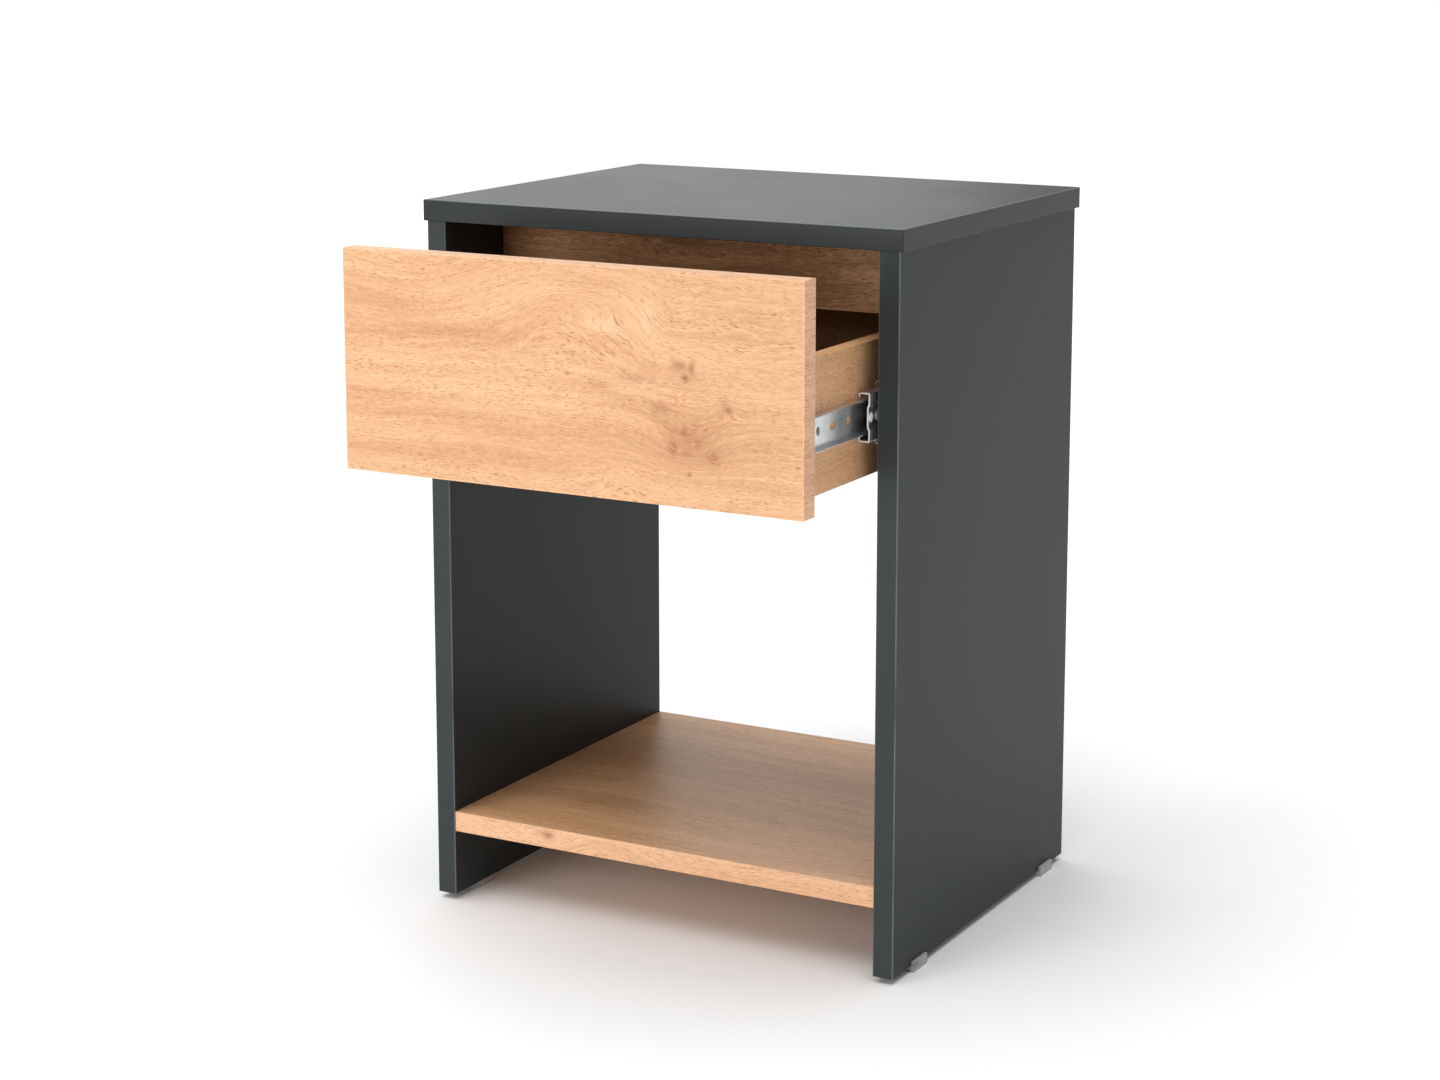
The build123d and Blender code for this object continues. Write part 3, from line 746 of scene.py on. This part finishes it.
@dataclass(frozen=True)
class FinishSet:
    """Every finish of the table, by what it is put on."""

    board: Melamine = Melamine("anthracite_board", DARK_GREY, SOFT_GREY, 0.42)
    # The side and top bands get a painted highlight along their arrises.
    side_edge: Melamine = Melamine(
        "anthracite_side_edge",
        (0.034, 0.041, 0.043),
        (0.041, 0.048, 0.050),
        0.36,
        0.2,
        arrises=((Axis.X, 197.0), (Axis.X, 181.0), (Axis.X, -197.0), (Axis.X, -181.0)),
    )
    top_edge: Melamine = Melamine(
        "anthracite_top_edge",
        (0.026, 0.031, 0.033),
        (0.032, 0.037, 0.039),
        0.36,
        0.2,
        arrises=((Axis.Z, 550.0),),
    )
    front: OakPrint = OakPrint(
        "oak_front",
        Axis.X,
        Axis.Z,
        (3.1, 8.4),
        OAK_FRONT_BENDS,
        OAK_FRONT_MARKS,
        OAK_FRONT_WASHES,
        roughness=0.46,
        sway=13.0,
        face_offset=222.5,
    )
    front_band: OakPrint = OakPrint(
        "oak_front_band", Axis.X, Axis.Y, (6.0, 1.7), tone=BAND_TONE, ends_beyond=185.4
    )
    shelf: OakPrint = OakPrint(
        "oak_shelf",
        Axis.X,
        Axis.Y,
        (12.4, 5.2),
        (Bend((-60.0, 40.0), (120.0, 60.0), -20.0), Bend((90.0, 150.0), (110.0, 40.0), 14.0)),
        (Mark((-70.0, 30.0), (26.0, 7.0), 0.2),),
        (Wash((-90.0, -20.0), (60.0, 12.0), -0.2), Wash((40.0, 60.0), (90.0, 20.0), 0.15)),
        SHELF_TONE,
        0.40,
        0.26,
        face_offset=-72.0,
    )
    shelf_band: OakPrint = OakPrint(
        "oak_shelf_band",
        Axis.X,
        Axis.Z,
        (21.0, 9.0),
        (Bend((-92.0, 66.0), (14.0, 6.0), 7.0), Bend((-45.0, 60.0), (30.0, 16.0), -14.0)),
        (Mark((-96.0, 66.5), (6.0, 3.4), 0.75),),
        tone=BAND_TONE,
        face_offset=98.5,
    )
    # The rail's darker tone is painted shade from the top panel. Its washes paint shade over the middle and
    # light at the right end.
    rail: OakPrint = OakPrint(
        "oak_rail",
        Axis.X,
        Axis.Z,
        (31.0, 14.0),
        (Bend((-20.0, 500.0), (90.0, 26.0), 14.0),),
        (),
        (Wash((-20.0, 505.0), (130.0, 40.0), -0.28), Wash((185.0, 500.0), (70.0, 60.0), 0.60)),
        SHADED_TONE,
        shine=0.1,
        face_offset=19.5,
    )
    rear: OakPrint = OakPrint(
        "oak_rear",
        Axis.X,
        Axis.Z,
        (44.0, 2.0),
        (Bend((40.0, 440.0), (120.0, 40.0), -22.0),),
        face_offset=-220.5,
    )
    rear_band: OakPrint = OakPrint("oak_rear_band", Axis.X, Axis.Y, (47.0, 3.0), tone=BAND_TONE)
    box_side: OakPrint = OakPrint(
        "oak_box_side",
        Axis.Y,
        Axis.Z,
        (52.0, 6.0),
        (Bend((-60.0, 440.0), (60.0, 20.0), 9.0),),
        sway=12.0,
        face_offset=-168.3,
    )
    # The drawer back wears the darkened tone: painted shade.
    box_back: OakPrint = OakPrint("oak_box_back", Axis.X, Axis.Z, (63.0, 4.0), tone=DRAWER_SHADE_TONE)
    bottom: PlainTimber = PlainTimber(
        "drawer_bottom_board", (0.20, 0.115, 0.055), (0.13, 0.07, 0.032), Axis.X
    )
    beech: PlainTimber = PlainTimber("beech_dowel", (0.66, 0.46, 0.28), (0.50, 0.31, 0.17), Axis.X)
    # The middle member's front end carries a painted highlight.
    slide_middle: DrawnMetal = DrawnMetal(
        "zinc_plated_middle_member", (0.88, 0.89, 0.90), (0.68, 0.69, 0.70), 0.30, cut_end=-106.9
    )
    slide: DrawnMetal = DrawnMetal("zinc_plated_slide", (0.86, 0.87, 0.88), (0.66, 0.67, 0.68), 0.30)
    # Near-white and barely metallic: the bosses' colour is a painted highlight, standing in for their glints
    # in the shade.
    boss: CastMetal = CastMetal(
        "boss_painted_highlight", (0.97, 0.97, 0.98), (0.86, 0.87, 0.88), 0.20, 1.5, 0.1, 0.15
    )
    cage: DrawnMetal = DrawnMetal("zinc_plated_strip", (0.60, 0.61, 0.62), (0.42, 0.43, 0.44), 0.36)
    screw: CastMetal = CastMetal("zinc_plated_screw", (0.72, 0.72, 0.70), (0.50, 0.50, 0.47), 0.34)
    cam: CastMetal = CastMetal("die_cast_cam", (0.58, 0.58, 0.57), (0.40, 0.40, 0.39), 0.48)
    ball: CastMetal = CastMetal("ball_steel", (0.82, 0.82, 0.83), (0.72, 0.72, 0.73), 0.14, 1.0, 0.05)
    glide: Moulded = Moulded("grey_glide_plastic", (0.40, 0.395, 0.39), 0.46, 0.12, 0.05)
    lever: Moulded = Moulded("black_lever_plastic", (0.018, 0.018, 0.019), 0.42)
    rubber: Moulded = Moulded("black_stop_rubber", (0.022, 0.022, 0.022), 0.72, 0.7)


class Workshop:
    """Builds each finish once and puts it on nodes and pieces."""

    def __init__(self, nodes: dict[str, bpy.types.Object]) -> None:
        """Keeps the CAD nodes to dress.

        Args:
            nodes: the frame's nodes by name.
        """
        self.nodes = nodes
        self.finishes = FinishSet()
        self.made: dict[str, bpy.types.Material] = {}

    def material(self, name: str) -> bpy.types.Material:
        """One of the finish set's materials, built when it is first asked for.

        Args:
            name: the finish's field in FinishSet.

        Returns:
            The material.
        """
        if name not in self.made:
            self.made[name] = getattr(self.finishes, name).build()
        return self.made[name]

    def dress(self, piece: bpy.types.Object, finish: str) -> None:
        """Puts one finish all over a piece.

        Args:
            piece: a CAD node's object or a new piece.
            finish: the finish's field in FinishSet.
        """
        piece.data.materials.clear()
        piece.data.materials.append(self.material(finish))
        LOG.info("%s has %s", piece.name, finish)

    def dress_nodes(self, finish: str, *names: str) -> None:
        """Puts one finish on several CAD nodes.

        Args:
            finish: the finish's field in FinishSet.
            *names: the nodes.
        """
        for name in names:
            self.dress(self.nodes[name], finish)


# ---------------------------------------------------------------- modelling by hand


def start_clean() -> None:
    """Leaves edit mode and selects nothing."""
    if bpy.context.object and bpy.context.object.mode != "OBJECT":
        bpy.ops.object.mode_set(mode="OBJECT")
    bpy.ops.object.select_all(action="DESELECT")


def only(piece: bpy.types.Object) -> None:
    """Selects one piece and makes it active.

    Args:
        piece: the piece.
    """
    start_clean()
    piece.select_set(True)
    bpy.context.view_layer.objects.active = piece


def settle(piece: bpy.types.Object, name: str) -> bpy.types.Object:
    """Moves a piece's place into its mesh and names it.

    Args:
        piece: the piece to settle.
        name: its name from here on.

    Returns:
        The same piece, at the origin, unturned and unscaled.
    """
    only(piece)
    bpy.ops.object.transform_apply(location=True, rotation=True, scale=True)
    piece.name = name
    piece.data.name = name
    return piece


def block(low: Vector, high: Vector, name: str) -> bpy.types.Object:
    """A block between two corners, as a start for a piece.

    Args:
        low: its lowest corner.
        high: its highest corner.
        name: its name.

    Returns:
        The block, with its place in its mesh.
    """
    start_clean()
    bpy.ops.mesh.primitive_cube_add(size=1.0, location=(low + high) / 2)
    piece = bpy.context.object
    piece.scale = high - low
    return settle(piece, name)


def apply_modifier(piece: bpy.types.Object, kind: str, **settings: object) -> None:
    """Adds a modifier with its settings and applies it.

    Args:
        piece: the piece.
        kind: the modifier's type.
        **settings: its values.
    """
    only(piece)
    modifier = piece.modifiers.new(kind.lower(), kind)
    for name, value in settings.items():
        setattr(modifier, name, value)
    bpy.ops.object.modifier_apply(modifier=modifier.name)


def carve(piece: bpy.types.Object, tool: bpy.types.Object) -> None:
    """Cuts one piece out of another and throws the tool away.

    Args:
        piece: the piece that is cut.
        tool: the piece that is cut out of it.
    """
    apply_modifier(piece, "BOOLEAN", operation="DIFFERENCE", solver="EXACT", object=tool)
    bpy.data.objects.remove(tool)


def smooth(piece: bpy.types.Object, angle: float = 35.0) -> None:
    """Shades a piece smooth except at its sharp edges."""
    only(piece)
    bpy.ops.object.shade_smooth_by_angle(angle=math.radians(angle))


def copied(piece: bpy.types.Object, name: str) -> bpy.types.Object:
    """Copies a piece, with a mesh of its own.

    Args:
        piece: the piece to copy.
        name: the copy's name.

    Returns:
        The copy, in the scene.
    """
    twin = piece.copy()
    twin.data = piece.data.copy()
    twin.name = name
    bpy.context.scene.collection.objects.link(twin)
    return twin


def joined(pieces: list[bpy.types.Object], name: str) -> bpy.types.Object:
    """Joins pieces into one.

    Args:
        pieces: the pieces, which become the first one.
        name: its name.

    Returns:
        The joined piece, with its place in its mesh.
    """
    start_clean()
    for piece in pieces:
        piece.select_set(True)
    bpy.context.view_layer.objects.active = pieces[0]
    bpy.ops.object.join()
    return settle(pieces[0], name)


# ---------------------------------------------------------------- sub-assemblies


@dataclass
class Carcass:
    """The anthracite top and sides, with their edge bands."""

    shop: Workshop

    def dress(self) -> None:
        """Gives the boards and their bands their finishes."""
        self.shop.dress_nodes("board", "top_panel", "side_left", "side_right")
        self.shop.dress_nodes("top_edge", "top_edge_bands")
        self.shop.dress_nodes("side_edge", "side_left_edge_bands", "side_right_edge_bands")


@dataclass
class OakBoards:
    """The shelf, the rail over the drawer and the back panel, with their edge bands."""

    shop: Workshop

    def dress(self) -> None:
        """Gives each board its own stretch of the oak print."""
        self.shop.dress_nodes("shelf", "shelf")
        self.shop.dress_nodes("shelf_band", "shelf_edge_band")
        self.shop.dress_nodes("rail", "top_rail")
        self.shop.dress_nodes("rear", "back_panel")
        self.shop.dress_nodes("rear_band", "rail_and_back_edge_bands")


@dataclass
class Drawer:
    """The drawer's front and box."""

    shop: Workshop

    def dress(self) -> None:
        """Gives the front, its bands and the box their finishes."""
        self.shop.dress_nodes("front", "drawer_front")
        self.shop.dress_nodes("front_band", "drawer_front_edge_bands")
        self.shop.dress_nodes("box_side", "drawer_side_left", "drawer_side_right")
        self.shop.dress_nodes("box_back", "drawer_back")
        self.shop.dress_nodes("bottom", "drawer_bottom")
        self.shop.dress_nodes("screw", "drawer_back_screws", "drawer_bottom_screws")


@dataclass
class KnockDownFittings:
    """Cam locks, their bolts and the dowels that hold the boards together."""

    shop: Workshop
    groups: tuple[str, ...] = ("top", "shelf", "rail", "back", "drawer_front")

    def dress(self) -> None:
        """Gives the fittings their finishes."""
        for group in self.groups:
            self.shop.dress_nodes("cam", f"{group}_cams")
            self.shop.dress_nodes("screw", f"{group}_cam_bolts")
            self.shop.dress_nodes("beech", f"{group}_dowels")


@dataclass
class CrossHeadScrew:
    """A countersunk screw with a cross recess, modelled pointing down with its head at the origin."""

    head_radius: float = 0.0032
    shank_radius: float = 0.00155
    head_height: float = 0.0011
    shank_length: float = 0.0085
    tip_length: float = 0.0016
    tip_share: float = 0.15
    head_rim: float = 0.0001
    recess_span: float = 0.0036
    recess_width: float = 0.0007
    recess_depth: float = 0.0012
    sides: int = 32

    def build(self) -> bpy.types.Object:
        """Models the screw.

        Returns:
            The screw as one mesh.
        """
        start_clean()
        bpy.ops.mesh.primitive_circle_add(vertices=self.sides, radius=self.head_radius, fill_type="NGON")
        screw = bpy.context.object
        bpy.ops.object.mode_set(mode="EDIT")
        steps = (
            (self.head_rim, 1.0),
            (self.head_height - self.head_rim, self.shank_radius / self.head_radius),
            (self.shank_length, 1.0),
            (self.tip_length, self.tip_share),
        )
        for length, scale in steps:
            bpy.ops.mesh.extrude_region_move(TRANSFORM_OT_translate={"value": (0, 0, -length)})
            bpy.ops.transform.resize(value=(scale, scale, 1.0))
        bpy.ops.mesh.select_all(action="SELECT")
        bpy.ops.mesh.edge_face_add()
        bpy.ops.mesh.normals_make_consistent(inside=False)
        bpy.ops.object.mode_set(mode="OBJECT")
        for along, across in (
            (self.recess_span, self.recess_width),
            (self.recess_width, self.recess_span),
        ):
            half = Vector((along / 2, across / 2, 0))
            deep = Vector((0, 0, self.recess_depth))
            carve(screw, block(-half - deep, half + deep, "recess"))
        smooth(screw, 30.0)
        return screw


@dataclass
class StampedBoss:
    """A round domed boss pressed into a slide's web, modelled pointing up with its rim at the origin."""

    rim_radius: float = 0.0040
    sides: int = 36
    profile: tuple[tuple[float, float], ...] = (
        (0.0003, 0.95),
        (0.0004, 0.86),
        (0.0003, 0.72),
        (0.0002, 0.5),
    )

    def build(self) -> bpy.types.Object:
        """Models the boss.

        Returns:
            The boss as one mesh.
        """
        start_clean()
        bpy.ops.mesh.primitive_circle_add(vertices=self.sides, radius=self.rim_radius, fill_type="NGON")
        boss = bpy.context.object
        bpy.ops.object.mode_set(mode="EDIT")
        for rise, shrink in self.profile:
            bpy.ops.mesh.extrude_region_move(TRANSFORM_OT_translate={"value": (0, 0, rise)})
            bpy.ops.transform.resize(value=(shrink, shrink, 1.0))
        bpy.ops.mesh.select_all(action="SELECT")
        bpy.ops.mesh.normals_make_consistent(inside=False)
        bpy.ops.object.mode_set(mode="OBJECT")
        smooth(boss, 60.0)
        return boss


@dataclass
class SlidePair:
    """The two ball-bearing slides, with their screws, cages, balls, stops and release levers."""

    shop: Workshop
    screw_places: tuple[float, ...] = (0.036, 0.132, 0.260)
    boss_places: tuple[float, ...] = (0.0043, 0.0140)
    boss_web_inset: float = 0.0039
    web: float = 0.0011
    first_turn: float = 0.35
    turn_step: float = 0.5

    def dress(self) -> None:
        """Gives the slides' own nodes their finishes."""
        for side in Side:
            members = [f"slide_{stage}_member_{side.word}" for stage in ("case", "drawer")]
            self.shop.dress_nodes("slide", *members)
            self.shop.dress_nodes("slide_middle", f"slide_middle_member_{side.word}")
            self.shop.dress_nodes("cage", f"outer_ball_cage_{side.word}", f"inner_ball_cage_{side.word}")
            self.shop.dress_nodes("ball", f"outer_balls_{side.word}", f"inner_balls_{side.word}")
            self.shop.dress_nodes("rubber", f"slide_end_stop_{side.word}")
            self.shop.dress_nodes("lever", f"release_lever_{side.word}")
        self.shop.dress_nodes("screw", "release_lever_pins")

    def build_screws(self) -> None:
        """Replaces the plain screws with ones that have a cross recess."""
        blank = CrossHeadScrew().build()
        for node, stage, body, turn in (
            ("case_slide_screws", "case", "cabinet", 1),
            ("drawer_slide_screws", "drawer", "drawer", -1),
        ):
            screws = []
            for side in Side:
                low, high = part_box(f"slide_{stage}_member_{side.word}")
                towards = side.value * turn
                wall = high.x if towards > 0 else low.x
                middle = (low.z + high.z) / 2
                for index, place in enumerate(self.screw_places):
                    screw = copied(blank, f"screw_{side.word}_{index}")
                    screw.location = (wall - towards * self.web, low.y + place, middle)
                    screw.rotation_mode = "ZYX"
                    turn_in = self.first_turn + self.turn_step * index
                    screw.rotation_euler = (0, -towards * math.pi / 2, turn_in)
                    screws.append(screw)
            piece = joined(screws, f"{node}_cross_head")
            self.shop.dress(piece, "screw")
            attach(piece, body)
            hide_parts(node)
        bpy.data.objects.remove(blank)

    def build_bosses(self) -> None:
        """Adds the bosses pressed into the web of each middle member, on the side of the case."""
        blank = StampedBoss().build()
        for side in Side:
            middle_low, middle_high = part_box(f"slide_middle_member_{side.word}")
            case_low, case_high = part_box(f"slide_case_member_{side.word}")
            wall = case_high.x if side is Side.RIGHT else case_low.x
            bosses = []
            for index, place in enumerate(self.boss_places):
                boss = copied(blank, f"boss_{side.word}_{index}")
                x = wall - side.value * self.boss_web_inset
                boss.location = (x, middle_low.y + place, (middle_low.z + middle_high.z) / 2)
                boss.rotation_euler = (0, side.value * math.pi / 2, 0)
                bosses.append(boss)
            piece = joined(bosses, f"middle_member_bosses_{side.word}")
            self.shop.dress(piece, "boss")
            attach(piece, f"middle_{side.word}")
        bpy.data.objects.remove(blank)


@dataclass
class Glides:
    """Four moulded glides under the sides: a sole, a lip up the outer face and a nail recess."""

    shop: Workshop
    wall: float = 0.0022
    upstand: float = 0.003
    round_over: float = 0.0006
    recess_radius: float = 0.0023
    recess_depth: float = 0.0015
    nail_radius: float = 0.0011
    drill_sides: int = 32
    sharp_edge: float = 40.0

    def build_one(self, side: Side, place: str) -> None:
        """Models one glide in the place of its plain solid.

        Args:
            side: which side panel it is under.
            place: "front" or "back".
        """
        node = f"glide_{place}_{side.word}"
        low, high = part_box(node)
        sole_top = high.z - self.upstand
        glide = block(low, Vector((high.x, high.y, sole_top)), f"{node}_moulded")
        lip_x = high.x - self.wall if side is Side.RIGHT else low.x + self.wall
        only(glide)
        bpy.ops.object.mode_set(mode="EDIT")
        bpy.ops.mesh.select_all(action="SELECT")
        bpy.ops.mesh.bisect(plane_co=(lip_x, 0, 0), plane_no=(1, 0, 0))
        bpy.ops.object.mode_set(mode="OBJECT")
        for face in glide.data.polygons:
            outside = (face.center.x - lip_x) * side.value > 0
            face.select = outside and face.normal.z > 0.9
        bpy.ops.object.mode_set(mode="EDIT")
        bpy.ops.mesh.extrude_region_move(TRANSFORM_OT_translate={"value": (0, 0, self.upstand)})
        bpy.ops.object.mode_set(mode="OBJECT")
        sharp = math.radians(self.sharp_edge)
        bevel = {"width": self.round_over, "segments": 3, "limit_method": "ANGLE", "angle_limit": sharp}
        apply_modifier(glide, "BEVEL", **bevel)
        middle_x = (lip_x + (low.x if side is Side.RIGHT else high.x)) / 2
        centre = Vector((middle_x, (low.y + high.y) / 2, 0))
        for radius, depth in ((self.recess_radius, self.recess_depth), (self.nail_radius, sole_top * 2)):
            start_clean()
            bpy.ops.mesh.primitive_cylinder_add(
                vertices=self.drill_sides, radius=radius, depth=depth * 2, location=centre
            )
            carve(glide, settle(bpy.context.object, "drill"))
        smooth(glide, self.sharp_edge)
        self.shop.dress(glide, "glide")
        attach(glide, "cabinet")
        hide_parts(node)

    def build(self) -> None:
        """Models all four glides and dresses their nails."""
        for side in Side:
            for place in ("front", "back"):
                self.build_one(side, place)
        self.shop.dress_nodes("screw", "glide_nails")


# ---------------------------------------------------------------- studio


@dataclass
class Softbox:
    """A large square light that looks at a point."""

    name: str
    place: tuple[float, float, float]
    target: tuple[float, float, float]
    size: float
    power: float
    colour: Colour = (1.0, 1.0, 1.0)

    def build(self) -> None:
        """Adds the light."""
        light = bpy.data.lights.new(self.name, "AREA")
        light.shape = "SQUARE"
        light.size = self.size
        light.energy = self.power
        light.color = self.colour
        lamp = bpy.data.objects.new(self.name, light)
        bpy.context.scene.collection.objects.link(lamp)
        lamp.location = self.place
        aim = Vector(self.target) - Vector(self.place)
        lamp.rotation_euler = aim.to_track_quat("-Z", "Y").to_euler()


@dataclass
class Overhead:
    """A very wide, even light from above, for the floor and the top."""

    name: str = "overhead"
    tilt_x: float = 12.0
    tilt_y: float = -5.0
    spread: float = 70.0
    power: float = 2.5
    height: float = 3.0

    def build(self) -> None:
        """Adds the light."""
        light = bpy.data.lights.new(self.name, "SUN")
        light.energy = self.power
        light.angle = math.radians(self.spread)
        lamp = bpy.data.objects.new(self.name, light)
        bpy.context.scene.collection.objects.link(lamp)
        lamp.location = (0.0, 0.0, self.height)
        lamp.rotation_euler = (math.radians(self.tilt_x), math.radians(self.tilt_y), 0.0)


@dataclass
class Studio:
    """A pale floor, an even pale surround, soft lights and the camera."""

    floor_size: float = 60.0
    floor_colour: Colour = (0.90, 0.90, 0.90)
    floor_mottle: float = 0.985
    surround: float = 0.40
    camera_place: tuple[float, float, float] = (1.0573, -1.9210, 0.7875)
    camera_turn: float = 28.823
    camera_tilt: float = -9.997
    sensor: float = 36.0
    lens: float = 73.277
    shift: float = -0.1
    sees_to: float = 100.0
    softboxes: tuple[Softbox, ...] = (
        Softbox("front_softbox", (-0.9, -2.6, 0.75), (0.0, 0.0, 0.3), 1.4, 28.5),
        Softbox("back_softbox", (-3.0, 4.0, 1.5), (0.0, 0.0, 0.55), 2.8, 32.0),
    )

    def build_floor(self) -> None:
        """Lays a plain pale floor."""
        start_clean()
        bpy.ops.mesh.primitive_plane_add(size=self.floor_size)
        floor = bpy.context.object
        floor.name = "studio_floor"
        canvas = Canvas("studio_floor")
        cloud = canvas.noise(canvas.point(*canvas.place()), 0.004, 2.0)
        low = tuple(channel * self.floor_mottle for channel in self.floor_colour)
        colour = canvas.ramp(cloud, ((0.3, low), (0.7, self.floor_colour)))
        floor.data.materials.append(canvas.finish(Base_Color=colour, Roughness=0.9, Specular_IOR_Level=0.1))

    def build_surround(self) -> None:
        """Makes the world an even soft light that is itself seen as white."""
        world = bpy.data.worlds.new("white_surround")
        bpy.context.scene.world = world
        world.use_nodes = True
        nodes, links = world.node_tree.nodes, world.node_tree.links
        background = nodes["Background"]
        background.inputs["Color"].default_value = (1.0, 1.0, 1.0, 1.0)
        strength = nodes.new("ShaderNodeMath")
        strength.operation = "MULTIPLY_ADD"
        strength.inputs[1].default_value = 1.0 - self.surround
        strength.inputs[2].default_value = self.surround
        links.new(nodes.new("ShaderNodeLightPath").outputs["Is Camera Ray"], strength.inputs[0])
        links.new(strength.outputs[0], background.inputs["Strength"])

    def build_camera(self) -> None:
        """Sets up the camera at its place, with its lens, tilt and shift."""
        data = bpy.data.cameras.new("camera")
        data.sensor_width = self.sensor
        data.lens = self.lens
        data.shift_y = self.shift
        data.clip_end = self.sees_to
        camera = bpy.data.objects.new("camera", data)
        bpy.context.scene.collection.objects.link(camera)
        camera.location = self.camera_place
        camera.rotation_euler = (math.radians(90.0 + self.camera_tilt), 0.0, math.radians(self.camera_turn))
        bpy.context.scene.camera = camera

    def build(self) -> None:
        """Builds the whole studio."""
        self.build_camera()
        self.build_surround()
        self.build_floor()
        Overhead().build()
        for softbox in self.softboxes:
            softbox.build()
        bpy.context.scene.view_settings.view_transform = "Standard"


def main() -> None:
    """Builds the studio and every sub-assembly around the frame."""
    logging.basicConfig(level=logging.INFO, format="%(name)s: %(message)s")
    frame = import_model()
    start_clean()
    shop = Workshop(frame["nodes"])
    Studio().build()
    Carcass(shop).dress()
    OakBoards(shop).dress()
    Drawer(shop).dress()
    KnockDownFittings(shop).dress()
    slides = SlidePair(shop)
    slides.dress()
    slides.build_screws()
    slides.build_bosses()
    Glides(shop).build()
    start_clean()


if __name__ == "__main__":
    main()
